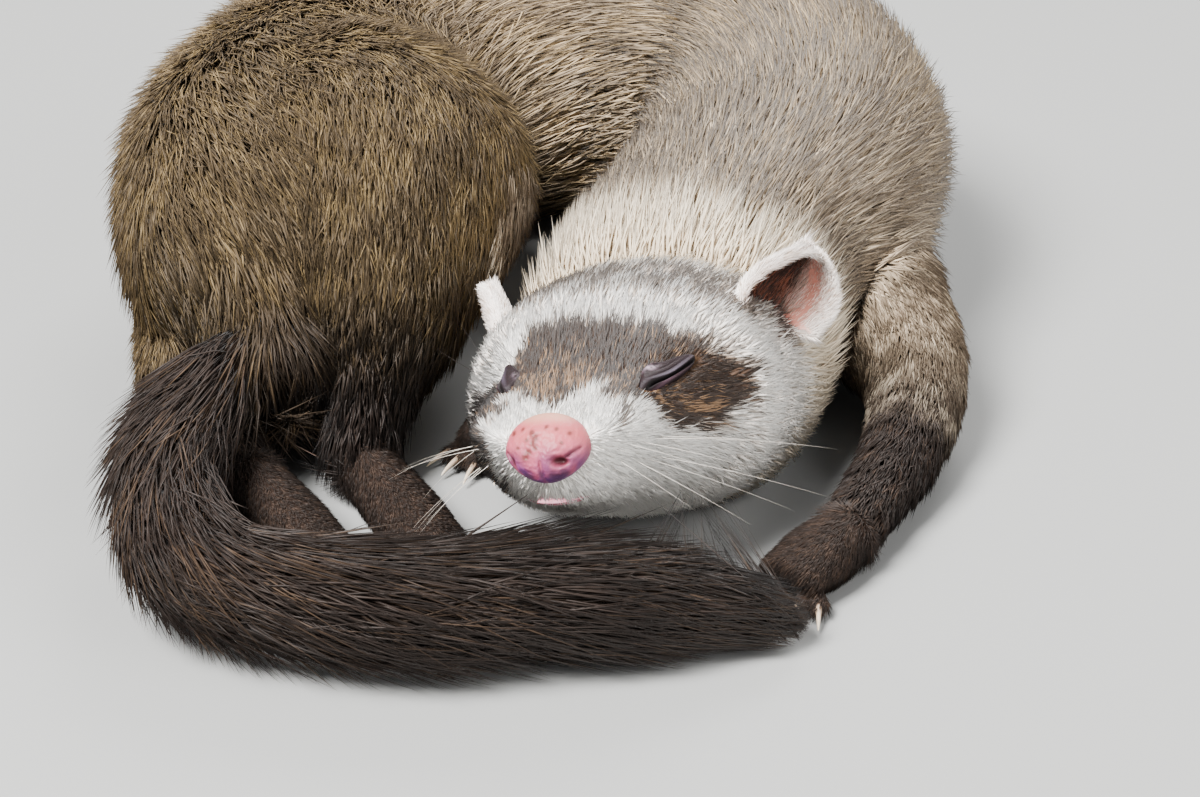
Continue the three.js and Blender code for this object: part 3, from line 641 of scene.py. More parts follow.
# The mask's outline: degrees round the head from its left side over the top, and millimetres
# back from the eyes. One degree counts as MASK_ARC millimetres. Small waves break its edge: how
# far they move it, their size and their seed.
MASK_ARC, MASK_SOFT = 0.26, 1.1
MASK_WAVES = (2.8, 1.6, 3), (2.0, 0.8, 4)
MASK_OUTLINE = np.array([
    [-14, -3], [-7, 3], [-1.5, 8], [6, 8.6], [16, 8.2], [25, 5.4], [33, 2.2], [43, 0.8], [54, 0],
    [91.4, 0], [112, 0.1], [134, 0.3], [143.3, -2.5], [152.6, -4.8], [168.9, -1.9], [183.7, 3.5],
    [200, 2], [222, -7], [234, -16], [229, -21.5], [204, -21.5], [185, -19.9], [168.2, -17],
    [156.9, -14.5], [152, -16.5], [138, -18], [100, -18.6], [80, -18.3], [62, -17.2], [50, -14.8],
    [36, -14.4], [27, -16.4], [15, -17], [14, -14.6], [13, -12], [3, -12.4], [-9, -9.6],
])


def outline_distance(u, v, corners):
    """How far places lie inside a closed outline; places outside it count below zero."""
    distance, inside = np.full(len(u), np.inf), np.zeros(len(u), bool)
    for (au, av), (bu, bv) in zip(corners, np.roll(corners, -1, axis=0)):
        du, dv = bu - au, bv - av
        t = np.clip(((u - au) * du + (v - av) * dv) / (du * du + dv * dv), 0, 1)
        distance = np.minimum(distance, np.hypot(u - au - t * du, v - av - t * dv))
        if dv != 0:
            inside ^= ((av > v) != (bv > v)) & (u < au + (v - av) * du / dv)
    return np.where(inside, distance, -distance)


def mask_share(h):
    """How much of the hair at head points is the mask's: its outline, broken by small waves."""
    x, y, z = h.T
    round_head = np.degrees(np.arctan2(z + AXIS_DROP, x))
    round_head = np.where(round_head < -90, round_head + 360, round_head)
    inside = outline_distance(round_head * MASK_ARC, y, MASK_OUTLINE * [MASK_ARC, 1])
    (broad, broad_size, broad_seed), (fine, fine_size, fine_seed) = MASK_WAVES
    wave = broad * (noise(h * [1, 0.5, 1], broad_size, broad_seed) - 0.5) \
        + fine * (noise(h, fine_size, fine_seed) - 0.5)
    return smoothstep(inside + wave, -MASK_SOFT, MASK_SOFT)


# The band between the ears: its front and back edge behind the eyes at the middle of the head,
# the slope of each to the sides and where it starts, how far from the middle it ends, and how
# high it starts. Streaks along the head break its edges.
CROWN = dict(front=8.2, front_slope=0.4, front_from=8, back=23.0, back_slope=0.5, back_from=4,
             ends=(16, 21), up=(-1, 4), streak=5.0, streak_size=1.6, share=0.74)


def crown_share(h):
    """The grey-brown band between the ears, of streaks that run to the back."""
    x, y, _ = h.T
    ax = np.abs(x)
    wave = CROWN["streak"] * (noise(h * [1, 0.25, 1], CROWN["streak_size"], 6) - 0.5)
    front = CROWN["front"] + CROWN["front_slope"] * np.maximum(ax - CROWN["front_from"], 0) + wave
    back = CROWN["back"] + CROWN["back_slope"] * np.maximum(ax - CROWN["back_from"], 0) + wave
    ends = 1 - smoothstep(ax, *CROWN["ends"])
    above = smoothstep(h[:, 2], *CROWN["up"])
    return smoothstep(y, front - 1.5, front + 2) * (1 - smoothstep(y, back - 3, back + 1)) * ends * above


def segment_distance(x, z, start, end):
    """How far places are from a straight stretch, and how far along it."""
    way = end - start
    t = np.clip(((x - start[0]) * way[0] + (z - start[1]) * way[1]) / (way @ way), 0, 1)
    return np.hypot(x - start[0] - t * way[0], z - start[1] - t * way[1]), t


# Dark hair at the ears' roots: places on the left side, alike on the right, and their reach, and
# one more in front of the animal's right ear.
EAR_DARK_AT = [(np.array([22.6, 24.5, 2.6]), 5.0), (np.array([18.6, 29.0, 8.6]), 3.4)]
RIGHT_EAR_DARK_AT, RIGHT_EAR_DARK_REACH = np.array([-17.4, 11.0, 7.2]), 2.8
# Where the trunk's colours change, as distances from the nose tip: the cream nape to the taupe neck,
# the neck to the golden-brown back, the back to the olive-brown haunch with painted shade, its dark end.
NAPE_END, BACK_STARTS, HAUNCH_STARTS, DARK_END = 84.0, (92, 150), (215, 275), (332, 350)
# Warm tan in the mask: on the bridge by place across and back with its reach, and under the left
# eye by place and reach.
BRIDGE_AT, BRIDGE_REACH = (-0.5, -13.0), (7.5, 6.5)
UNDER_EYE_AT, UNDER_EYE_REACH = np.array([16.4, -6.0, -4.2]), 4.4
# The small grey streak beside the nose: across and back at its ends, its height and its width.
STREAK_ENDS, STREAK_HIGH, STREAK_WIDE = (np.array([9.8, -17.0]), np.array([9.6, -20.4])), -4.8, 1.0


def markings(points, fields):
    """Light and dark hair, their root colour and the share of dark hairs at points of the body."""
    h = head_place(points)
    at = fields["body"]["at"]
    on_trunk = fields["weight"]["body"]
    n = len(points)
    # The trunk: cream behind the crown, taupe neck, golden-brown back, olive-brown haunch painted darker as
    # shade.
    edge = NAPE_END + 5 * (noise(points, 6.0, 5) - 0.5)
    down = fields["down"]
    neck = smoothstep(at, edge - 2, edge + 3)
    back = smoothstep(at, *BACK_STARTS)
    haunch = smoothstep(at, *HAUNCH_STARTS)
    light = mix(mix(np.tile(CREAM, (n, 1)), NECK_LIGHT, neck), BACK_LIGHT, back)
    light = mix(light, HAUNCH_LIGHT_SHADED, haunch)
    dark = mix(mix(np.tile(NECK_DARK, (n, 1)), BACK_DARK, back), HAUNCH_DARK_SHADED, haunch)
    root = mix(np.tile(ROOT_CREAM_SHADED, (n, 1)), HAUNCH_ROOT_SHADED, haunch)
    dark_share = neck * (0.68 - 0.16 * back + 0.08 * haunch)
    # The belly is paler and greyer than the back.
    dark_share = dark_share * (1 - 0.35 * down * smoothstep(at, 80, 120))
    # The head: white, with the mask and the crown's band.
    face = 1 - smoothstep(at, 48, 60)
    light = mix(light, WHITE, face)
    root = mix(root, WHITE_ROOT_SHADED, face)
    mask = mask_share(h) * (at < 45)
    bridge = bell(h[:, 0] - BRIDGE_AT[0], BRIDGE_REACH[0]) * bell(h[:, 1] - BRIDGE_AT[1], BRIDGE_REACH[1])
    under_eye = bell(np.linalg.norm((h - UNDER_EYE_AT) * [1, 0.8, 1], axis=1), UNDER_EYE_REACH)
    warm = np.clip(bridge + 0.85 * under_eye, 0, 1)
    light = mix(light, MASK_TAN, mask)
    root = mix(root, MASK_ROOT, mask)
    dark = mix(dark, MASK_DARK, smoothstep(60 - at, 0, 4))
    dark_share = dark_share * (1 - smoothstep(60 - at, 0, 4)) + mask * (0.9 - 0.52 * warm)
    crown = crown_share(h) * (at < 66)
    dark = mix(dark, BAND_DARK, smoothstep(crown, 0, 0.2) * (1 - mask))
    dark_share = np.maximum(dark_share, crown * CROWN["share"])
    # A small grey streak beside the nose, and the dark hair in front of each ear.
    streak, _ = segment_distance(h[:, 0], h[:, 1], *STREAK_ENDS)
    spot = bell(streak, STREAK_WIDE) * (h[:, 0] > 0) * bell(h[:, 2] - STREAK_HIGH, 2.5)
    dark = mix(dark, BAND_DARK, spot * (1 - mask))
    dark_share = np.maximum(dark_share, spot * 0.75)
    mirrored = np.column_stack([np.abs(h[:, 0]), h[:, 1:]])
    ear_base = sum(bell(np.linalg.norm(mirrored - place, axis=1), reach) for place, reach in EAR_DARK_AT)
    right_base = bell(np.linalg.norm(h - RIGHT_EAR_DARK_AT, axis=1), RIGHT_EAR_DARK_REACH)
    ear_base = np.clip(ear_base + 0.8 * right_base, 0, 1)
    dark = mix(dark, MASK_DARK, smoothstep(ear_base, 0.2, 0.6))
    root = mix(root, MASK_ROOT, smoothstep(ear_base, 0.3, 0.7))
    dark_share = np.maximum(dark_share, smoothstep(ear_base, 0.3, 0.7) * 0.95)
    # Legs, paws and tail are dark.
    limbs, tail = fields["weight"]["lower_leg"], fields["weight"]["tail"]
    limbs = limbs + 0.8 * smoothstep(at, *DARK_END) * on_trunk
    light = mix(mix(light, LEG_LIGHT, limbs), TAIL_LIGHT, tail)
    dark = mix(mix(dark, LEG_DARK, limbs), TAIL_DARK, tail)
    root = mix(mix(root, LEG_DARK, limbs), TAIL_DARK, tail)
    dark_share = dark_share * (1 - limbs - tail) + 0.75 * (limbs + tail)
    return light, dark, root, np.clip(dark_share, 0, 1)


# The coat's lie.

HAIR_LENGTH = np.array([
    [0, 1.6], [6, 2.3], [14, 3.2], [26, 4.6], [38, 6.8], [50, 9.0], [66, 11.5], [90, 13.5],
    [122, 16.0], [165, 17.0], [290, 17.0], [322, 16], [353, 14],
])
LEG_HAIR = {"foreleg_left": 7.0, "foreleg_right": 7.0, "hindleg_right": 12.0, "hindleg_left": 10.0}
TAIL_HAIR = 24.0
# Where along a leg its hair turns dark, as shares of the leg's length.
DARK_FROM = {"foreleg": (0.34, 0.72), "hindleg": (0.66, 0.92)}


def lie_of(points):
    """Weights of body, legs and tail at points, the way the hair lies and how long it is."""
    body = on_body(points)
    regions = [("body", body, np.interp(body["at"], *HAIR_LENGTH.T), coat_depth(body["at"]))]
    for name, limb in LIMBS.items():
        place = on_limb(limb, points)
        hair, coat_over = (np.full(len(points), of[name]) for of in (LEG_HAIR, LEG_COAT))
        regions.append((name, place, hair, coat_over))
    tail = on_limb(TAIL, points)
    wide, high = TAIL.sizes(tail["at"])
    half = (wide + high) / 2
    regions.append(("tail", tail, np.minimum(TAIL_HAIR, 8 + half * 1.5), half * (1 - TAIL_SKIN)))
    # A point belongs to the region that it lies deepest in, with a soft change-over.
    share = np.column_stack([place["share"] for _, place, _, _ in regions])
    weight = np.exp(-(share - share.min(axis=1, keepdims=True)) / 0.05)
    weight /= weight.sum(axis=1, keepdims=True)
    lie, length, depth = np.zeros((len(points), 3)), np.zeros(len(points)), np.zeros(len(points))
    lower = np.zeros(len(points))
    for k, (name, place, hair, coat) in enumerate(regions):
        w = weight[:, k]
        belly_way = 0.1 + 0.5 * smoothstep(place["at"], 70, 140) if name == "body" else 0.12
        way = unit(place["along"] - place["back"] * np.asarray(belly_way)[..., None])
        if name == "body":
            way = way - np.array([0, 0, 1.3]) * smoothstep(place["at"], 325, 350)[:, None]
        lie += way * w[:, None]
        length += hair * w
        depth += coat * w
        if name in LIMBS:
            reach = LIMBS[name].length
            start, end = DARK_FROM[name.split("_")[0]]
            lower += w * smoothstep(place["at"], start * reach, end * reach)
    down = -dot(from_spine(points, body), body["back"])
    weights = dict(body=weight[:, 0], lower_leg=lower, tail=weight[:, -1])
    down = smoothstep(down, 0.2, 0.9)
    return dict(body=body, weight=weights, lie=lie, length=length, depth=depth, down=down)


def from_spine(points, body):
    """The unit way from the spine out to each point."""
    centre, _, _, _ = body_frame(body["at"])
    return unit(points - centre)


def curvature(points, normals, edges, lie):
    """How fast the skin falls away along the lie: the turn of the normals along the edges."""
    a, b = edges.T
    step, turn = points[b] - points[a], normals[b] - normals[a]
    above, below = np.zeros(len(points)), np.zeros(len(points))
    for k in (a, b):
        s = dot(step, lie[k])
        above += np.bincount(k, dot(turn, lie[k]) * s, len(points))
        below += np.bincount(k, s * s, len(points))
    return np.clip(above / np.maximum(below, 1e-6), -0.004, 0.07)


def scatter(points, triangles, density, count, rng):
    """Roots spread over triangles by area and density: which triangle, and where in it."""
    a, b, c = (points[triangles[:, k]] for k in range(3))
    area = np.linalg.norm(np.cross(b - a, c - a), axis=1) / 2 * density[triangles].mean(axis=1)
    reach = np.cumsum(area)
    pick = np.searchsorted(reach, (np.arange(count) + rng.random(count)) / count * reach[-1])
    pick = np.minimum(pick, len(triangles) - 1)
    u, v = np.sqrt(rng.random(count)), rng.random(count)
    return triangles[pick], np.column_stack([1 - u, u * (1 - v), u * v])


def blended(values, corners, weights):
    """Vertex values carried to roots inside triangles."""
    return np.einsum("nk,nk...->n...", weights, values[corners])


def clump_pull(points, size, seed):
    """The way from each point to the nearest of one jittered centre for each cell of a size."""
    p = points / size
    cell = np.floor(p).astype(np.int64)
    best, pull, tone = np.full(len(p), np.inf), np.zeros_like(p), np.zeros(len(p))
    for k in range(27):
        near = cell + np.array([k % 3 - 1, k // 3 % 3 - 1, k // 9 - 1])
        centre = near + np.column_stack([hashed(near, seed + j) for j in range(3)])
        off = ((centre - p) ** 2).sum(axis=1)
        closer = off < best
        best = np.where(closer, off, best)
        pull[closer] = (centre - p)[closer]
        tone[closer] = hashed(near, seed + 7)[closer]
    return pull * size, tone


# A spike is three-sided from its root and runs straight to its tip. A spindle starts in a point
# under the skin, is widest at a share of its length and bends there.
SPINDLE_WAIST = 0.36
SPIKE = dict(points=4, faces=[[0, 2, 1], [0, 1, 3], [1, 2, 3], [2, 0, 3]])
SPINDLE = dict(points=5, faces=[[0, 2, 1], [0, 3, 2], [0, 1, 3], [1, 2, 4], [2, 3, 4], [3, 1, 4]])


def grow_tufts(shape, root, normal, lie, length, width, height, kappa, pull):
    """Three-sided tapered tufts. Each runs along the skin's lie, rises to its height as
    height * (1 - (1 - share)^2), falls away with the skin's curvature, leans to its clump's
    centre as share^1.5 and ends in a point."""
    def middle(share):
        above = height * (1 - (1 - share) ** 2) - kappa * (length * share) ** 2 / 2
        p = root + lie * (length * share)[:, None] + normal * above[:, None] + pull * share**1.5
        return lifted(p)

    waist = SPINDLE_WAIST if shape is SPINDLE else 0.0
    centre, tip = middle(waist), middle(1.0)
    way = unit(tip - centre)
    across = unit(np.cross(way, normal))
    out = np.cross(across, way)
    points = [middle(0.0)] if shape is SPINDLE else []
    for j in range(3):
        turn = 2 * math.pi * (j + 0.25) / 3
        corner = across * math.cos(turn) + out * math.sin(turn)
        points.append(lifted(centre + corner * (width / 2)[:, None]))
    points.append(tip)
    return np.stack(points, axis=1)


def lifted(p):
    """Points no lower than hair may lie on the floor."""
    p[:, 2] = np.maximum(p[:, 2], HAIR_REST)
    return p


def tuft_faces(shape, count):
    """The triangles of a number of tufts."""
    start = (np.arange(count) * shape["points"])[:, None, None]
    return (np.array(shape["faces"])[None] + start).reshape(-1, 3)


# Half the width of a tuft's patch in the map OFBake, as a share of the map.
PATCH = 0.0015


def bake_map(piece, root_uv, each):
    """The map OFBake: each tuft is a small patch, seen from its tip, at its root's place."""
    patch = np.zeros((each, 2))
    for j in range(3):
        turn = 2 * math.pi * j / 3
        patch[each - 4 + j] = np.array([math.cos(turn), math.sin(turn)]) * PATCH
    uv = (root_uv[:, None] * 0.99 + 0.005 + patch[None]).reshape(-1, 2)
    layer = piece.data.uv_layers.new(name="OFBake")
    index = np.empty(len(piece.data.loops), np.int32)
    piece.data.loops.foreach_get("vertex_index", index)
    layer.data.foreach_set("uv", uv[index].astype(np.float32).ravel())


# Materials.

def node(tree, kind, links=None, **settings):
    """Adds a node: settings are its own values, or its inputs by name, and links feed its inputs."""
    made = tree.nodes.new(kind)
    for name, value in settings.items():
        socket = made.inputs.get(name.replace("_", " ")) or made.inputs.get(name)
        if hasattr(made, name):
            setattr(made, name, value)
        elif socket is not None:
            socket.default_value = value
        else:
            raise KeyError(f"{kind} has no {name}")
    for name, output in (links or {}).items():
        tree.links.new(output, made.inputs[name])
    return made


def new_material(name):
    """A material whose tree holds only its output."""
    made = bpy.data.materials.new(name)
    made.use_nodes = True
    tree = made.node_tree
    tree.nodes.clear()
    return made, tree, node(tree, "ShaderNodeOutputMaterial")


def grain(tree, size_mm, strength, distance_mm, kind="ShaderNodeTexNoise"):
    """A bump from a noise or cell pattern of a real size, on Object coordinates."""
    place = node(tree, "ShaderNodeTexCoord")
    pattern = node(tree, kind, links={"Vector": place.outputs["Object"]}, Scale=1 / (size_mm * MM))
    return node(tree, "ShaderNodeBump", links={"Height": pattern.outputs[0]},
                Strength=strength, Distance=distance_mm * MM)


def painted_material(name, bump=None, **settings):
    """A material that takes its colour from the piece's own painted attribute."""
    made, tree, output = new_material(name)
    colour = node(tree, "ShaderNodeAttribute", attribute_name="coat")
    shader = node(tree, "ShaderNodeBsdfPrincipled", links={"Base Color": colour.outputs["Color"]}, **settings)
    if bump:
        tree.links.new(grain(tree, *bump).outputs["Normal"], shader.inputs["Normal"])
    tree.links.new(shader.outputs[0], output.inputs["Surface"])
    return made


# Ferret hair, dry keratin: a soft satin gloss along each hair and a pale bloom at grazing angles.
HAIR = painted_material("soft_fur", Roughness=0.6, IOR=1.55, Specular_IOR_Level=0.22,
                        Sheen_Weight=0.03, Sheen_Roughness=0.4)
# Dense woolly underfur seen between the tufts: no gloss, broken by a fine felted grain.
UNDERFUR = painted_material("dense_underfur", bump=(0.9, 0.8, 0.6), Roughness=0.95, IOR=1.5,
                            Specular_IOR_Level=0.1)
# Bare moist skin of the nose: a fine pebbled grain, light let into the skin, and a wet gloss.
NOSE_SKIN = painted_material("moist_nose_skin", bump=(0.42, 0.35, 0.12, "ShaderNodeTexVoronoi"),
                             Roughness=0.55, IOR=1.4, Subsurface_Weight=0.08,
                             Subsurface_Radius=(1.0, 0.35, 0.25), Subsurface_Scale=0.0005,
                             Coat_Weight=0.06, Coat_Roughness=0.35)
# Thin dry skin of the ears and lips: soft, with light let through, and fine wrinkles.
THIN_SKIN = painted_material("thin_skin", bump=(0.5, 0.4, 0.15), Roughness=0.55, IOR=1.4,
                             Subsurface_Weight=0.3, Subsurface_Radius=(1.0, 0.4, 0.3),
                             Subsurface_Scale=0.0015)
# Dark skin of the closed lids: fine creases and a moist line at the margins.
LID_SKIN = painted_material("lid_skin", bump=(0.35, 0.6, 0.12), Roughness=0.62, IOR=1.4,
                            Specular_IOR_Level=0.3, Subsurface_Weight=0.05,
                            Subsurface_Radius=(1.0, 0.4, 0.3), Subsurface_Scale=0.001)
# Horn of the claws: pale, slightly clear and smooth.
HORN = painted_material("claw_horn", Roughness=0.3, IOR=1.54, Subsurface_Weight=0.3,
                        Subsurface_Radius=(1.0, 0.7, 0.5), Subsurface_Scale=0.001)


def settle(piece, slot, *nodes):
    """The piece rides on the body and stands for its nodes. Its slot is not used."""
    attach(piece, "root")
    if nodes:
        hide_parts(*nodes)
    return piece


# The coat.

class Hide:
    """A surface that hair grows on: its points, normals and triangles, with the lie, length,
    height and colours of its hair at each point, and where each point lies on its unwrap."""

    def __init__(self, points, faces, lie, length, depth, unwrap, light, dark, root, dark_share):
        self.points, self.normals = points, normals_of(points, faces)
        quads = faces.shape[1] == 4
        self.triangles = np.vstack([faces[:, [0, 1, 2]], faces[:, [0, 2, 3]]]) if quads else faces
        self.lie = unit(lie - self.normals * dot(lie, self.normals)[:, None])
        self.kappa = curvature(points, self.normals, edges_of(faces), self.lie)
        self.length, self.depth, self.unwrap = length, depth, unwrap
        self.light, self.dark, self.root, self.dark_share = light, dark, root, dark_share


# How far hair may pass the solids' own outline, and how far it keeps off the closed eyes' slits.
HAIR_PAST, LID_CLEAR = 1.4, 1.35
# Tufts start under the skin, are sparse where the body lies on the floor, and vary in length and
# width. Dark tufts vary more in shade than light ones. A coat's piece holds this many triangles.
ROOT_UNDER, FLOOR_SPARSE = 0.3, 0.03
LENGTH_VARIES, WIDTH_VARIES, DARK_SHADE = (0.7, 1.1), (0.75, 1.25), (0.55, 1.2)
PIECE_TRIANGLES = 190000


def held_in(tips):
    """Tips drawn in towards the line of the body, leg or tail that they lie deepest in: what
    passes its outline is eased off as a hyperbolic tangent, to HAIR_PAST at most."""
    lines = [SPINE, *(limb.line for limb in LIMBS.values()), TAIL.line]
    places = [on_body(tips), *(on_limb(limb, tips) for limb in (*LIMBS.values(), TAIL))]
    share = np.column_stack([place["share"] for place in places])
    owner = share.argmin(axis=1)
    feet = np.stack([line.at(place["at"]) for line, place in zip(lines, places)])
    row = np.arange(len(tips))
    foot, share = feet[owner, row], share[row, owner]
    off = tips - foot
    reach = np.linalg.norm(off, axis=1)
    outline = reach / share
    kept = outline + HAIR_PAST * np.tanh((reach - outline) / HAIR_PAST)
    return np.where((share > 1)[:, None], foot + off * (kept / reach)[:, None], tips)


def coat(name, hide, zone, count, width, clump, seed, shape=SPINDLE, slot="body_coat", rough=0.16,
         marks=None, root_tint=0.45, pull_share=0.4, tall=(0.45, 1.0), stretch=1.0, shade=(0.75, 1.1),
         held=True, slits_clear=False):
    """One population of tufts over a zone of a hide, cut into pieces of few enough triangles.

    Colours come from marks at each root, or from the hide. Each tuft leans to the nearest clump's
    centre by its pull share, stands to a share of the coat's depth between the two of tall, and
    keeps a share of its tip's colour at its root. Held tufts keep to the solids' outline."""
    rng = np.random.default_rng(seed)
    on_floor = smoothstep(hide.points[:, 2], SKIN_REST, SKIN_REST + 2.5)
    density = zone * (FLOOR_SPARSE + (1 - FLOOR_SPARSE) * on_floor) / np.maximum(hide.length, 1)
    corners, weights = scatter(hide.points, hide.triangles, density, count, rng)
    root, length, depth, kappa, uv = (blended(v, corners, weights) for v in
                                      (hide.points, hide.length, hide.depth, hide.kappa, hide.unwrap))
    normal = unit(blended(hide.normals, corners, weights))
    lie = blended(hide.lie, corners, weights) + rng.normal(0, rough, (count, 3))
    lie = unit(lie - normal * dot(lie, normal)[:, None])
    if marks:
        light, dark, root_colour, dark_share = marks(root)
    else:
        light, dark, root_colour, dark_share = (blended(v, corners, weights) for v in
                                                (hide.light, hide.dark, hide.root, hide.dark_share))
    pull, tone = clump_pull(root, clump, seed)
    pull = (pull - normal * dot(pull, normal)[:, None]) * pull_share
    height = depth * (tall[0] + (tall[1] - tall[0]) * (0.55 * tone + 0.45 * rng.random(count)))
    length = length * rng.uniform(*LENGTH_VARIES, count) * stretch
    widths = width * rng.uniform(*WIDTH_VARIES, count)
    points = grow_tufts(shape, root - normal * ROOT_UNDER, normal, lie, length, widths,
                        height + ROOT_UNDER, kappa, pull)
    if held:
        points[:, -1] = lifted(held_in(points[:, -1]))
    if slits_clear:
        over = np.minimum(slit_distance(points[:, -1]), slit_distance(points.mean(axis=1)))
        points, uv, root_colour, light, dark, dark_share, tone = (
            values[over > LID_CLEAR]
            for values in (points, uv, root_colour, light, dark, dark_share, tone))
        count = len(points)
    clumped = dark_share + 0.7 * (tone - 0.5) * (dark_share > 0.02)
    is_dark = rng.random(count) < smoothstep(clumped, 0.15, 0.85)
    low_shade, high_shade = (np.where(is_dark, deep, pale) for deep, pale in zip(DARK_SHADE, shade))
    tip = np.where(is_dark[:, None], dark, light) * rng.uniform(low_shade, high_shade)[:, None]
    # The lower part of each tuft takes mostly its root colour: painted shade deep in the coat where it is
    # darker than the tip, and the real undercoat where it is lighter.
    low = mix(root_colour, tip, np.full(count, root_tint))
    shades = np.stack([low] * (shape["points"] - 1) + [tip], axis=1)
    most = PIECE_TRIANGLES // len(shape["faces"])
    for k in range(math.ceil(count / most)):
        part = slice(k * most, min(count, (k + 1) * most))
        faces = tuft_faces(shape, part.stop - part.start)
        piece = make_mesh(f"{name}_{k + 1}", points[part].reshape(-1, 3), faces, material=HAIR)
        paint(piece, "coat", shades[part].reshape(-1, 3))
        bake_map(piece, uv[part], shape["points"])
        settle(piece, slot)


# Where the closed eyes' slits run on the head, from the inner to the outer corner.
EYE_CORNERS = {1: [[11.6, -9.0, -1.4], [16.6, 2.8, 1.2]], -1: [[-9.9, -10.4, -1.1], [-14.6, -1.0, 2.4]]}


def slit_places(points):
    """For each closed eye: how far points are from its slit, the way aside from it, and its way."""
    places = []
    for corners in EYE_CORNERS.values():
        inner, outer = on_head(corners)
        along = unit(outer - inner)
        off = points - inner
        off = off - np.clip(off @ along, 0, np.linalg.norm(outer - inner))[:, None] * along
        aside = unit(off - (off @ along)[:, None] * along)
        places.append((np.linalg.norm(off, axis=1), aside, along))
    return places


def slit_distance(points):
    """How far points are from the nearer of the two slits."""
    return np.minimum(*(distance for distance, _, _ in slit_places(points)))


def round_the_eyes(points, lie, length, depth):
    """The hair near a closed eye runs along its slit, parts above and below it, and is short."""
    for distance, aside, along in slit_places(points):
        near = 1 - smoothstep(distance, 2.0, 7.5)
        lie = mix(lie, along + 0.8 * aside, near)
        length, depth = length * (1 - 0.62 * near), depth * (1 - 0.6 * near)
    return lie, length, depth


# What the skin stands for beside the head and jaw, by the first words of the nodes' names. It holds
# this share of the hair's colour over its root colour, and is darker, as it lies in the hair's shade.
FLESH = ("neck", "shoulders", "ribcage", "loin", "hips", "rump", "foreleg", "hindleg", "tail")
SKIN_TINT, SKIN_SHADE = 0.6, 0.7

skin_fields = lie_of(skin_points)
skin_hair = round_the_eyes(skin_points, *(skin_fields[key] for key in ("lie", "length", "depth")))
skin_marks = markings(skin_points, skin_fields)
skin_at = skin_fields["body"]["at"]
unwrap = np.column_stack([skin_at / SPINE.length, skin_fields["body"]["turn"] / (2 * math.pi) + 0.5])
hide = Hide(skin_points, skin_quads, *skin_hair, unwrap, *skin_marks)
skin = make_mesh("skin", skin_points, quads=skin_quads, material=UNDERFUR)
skin_light, skin_dark, skin_root, skin_dark_share = skin_marks
skin_tone = mix(skin_light, skin_dark, skin_dark_share)
paint(skin, "coat", mix(skin_root, skin_tone, np.full(len(skin_at), SKIN_TINT)) * SKIN_SHADE)
settle(skin, "body_coat", "head", "lower_jaw", *(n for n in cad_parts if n.split("_")[0] in FLESH))


def marks_at(points):
    return markings(points, lie_of(points))


trunk_part = skin_fields["weight"]["body"]
face_zone = (1 - smoothstep(skin_at, 30, 38)) * trunk_part
head_zone = smoothstep(skin_at, 30, 38) * (1 - smoothstep(skin_at, 66, 78)) * trunk_part
body_zone = 1 - np.clip(face_zone + head_zone, 0, 1)


# The lids: how far their patch reaches, as a share of half the slit's length and in millimetres
# above and below it, and how far above the slit its middle lies.
LID_REACH = np.array([1.15, 2.1])
LID_MIDDLE = 0.5
# The animal's right lids are pressed flatter. The patch ends under the skin.
LID_FLATTER, LID_UNDER, LID_EDGE = {1: 1.0, -1: 0.55}, -1.6, 1.7
# Each fold of the lids: its distance above the slit and its depth.
LID_FOLDS = (1.2, 0.1), (1.9, 0.08), (-1.0, 0.07)


def on_skin(points):
    """The place on the skin nearest a world point of the head, and the way out of it."""
    place = on_body(points)
    at, turn = place["at"], place["turn"]
    here = body_point(at, turn, -coat_depth(at))
    step = 0.05
    round_way = body_point(at, turn + step, -coat_depth(at)) - here
    back_way = body_point(at + step, turn, -coat_depth(at + step)) - here
    return here, unit(np.cross(back_way, round_way))


def rings_piece(name, rings, material, colours):
    """A closed piece from rings that start and end in small circles."""
    points, quads, fans = closed_tube(rings)
    if outward(points, quads) < 0:
        quads, fans = quads[:, ::-1], fans[:, ::-1]
    piece = make_mesh(name, points, fans, quads, material)
    flat = colours.reshape(-1, 3)
    paint(piece, "coat", np.vstack([flat, flat[:1], flat[-1:]]))
    return piece


def eye_place(side):
    """The middle of the slit, its unit way outward along the slit, the way up, and its half length."""
    inner, outer = on_head(EYE_CORNERS[side])
    middle, along = (inner + outer) / 2, unit(outer - inner)
    _, normal = on_skin(middle[None])
    up = unit(np.cross(along, normal[0]) * -side)
    return middle, along, up, np.linalg.norm(outer - inner) / 2


def lid_height(a, b):
    """Height of the lids over the skin by the share along the slit and the distance above it: a
    low dome over the eye, a groove at the slit, a ridge on each side of it, and fine folds."""
    slit = -0.4 * (1 - a * a) + 0.12 * a
    open_part = 1 - smoothstep(np.abs(a), 0.82, 1.02)
    off = b - slit
    height = 1.0 + 0.6 * bell(a, 1.1) * bell(b - 0.6, 1.9)
    height -= 0.95 * bell(off, 0.22) * open_part
    height += 0.3 * bell(off - 0.5, 0.3) * open_part + 0.22 * bell(off + 0.45, 0.28) * open_part
    for fold, depth in LID_FOLDS:
        height -= depth * bell(off - fold + 0.35 * a * a, 0.14) * bell(a, 0.9)
    height += 0.12 * np.sin(11 * a + 6 * b) * bell(a + 0.4, 0.3) * bell(b - 2.5, 0.7)
    return height, off


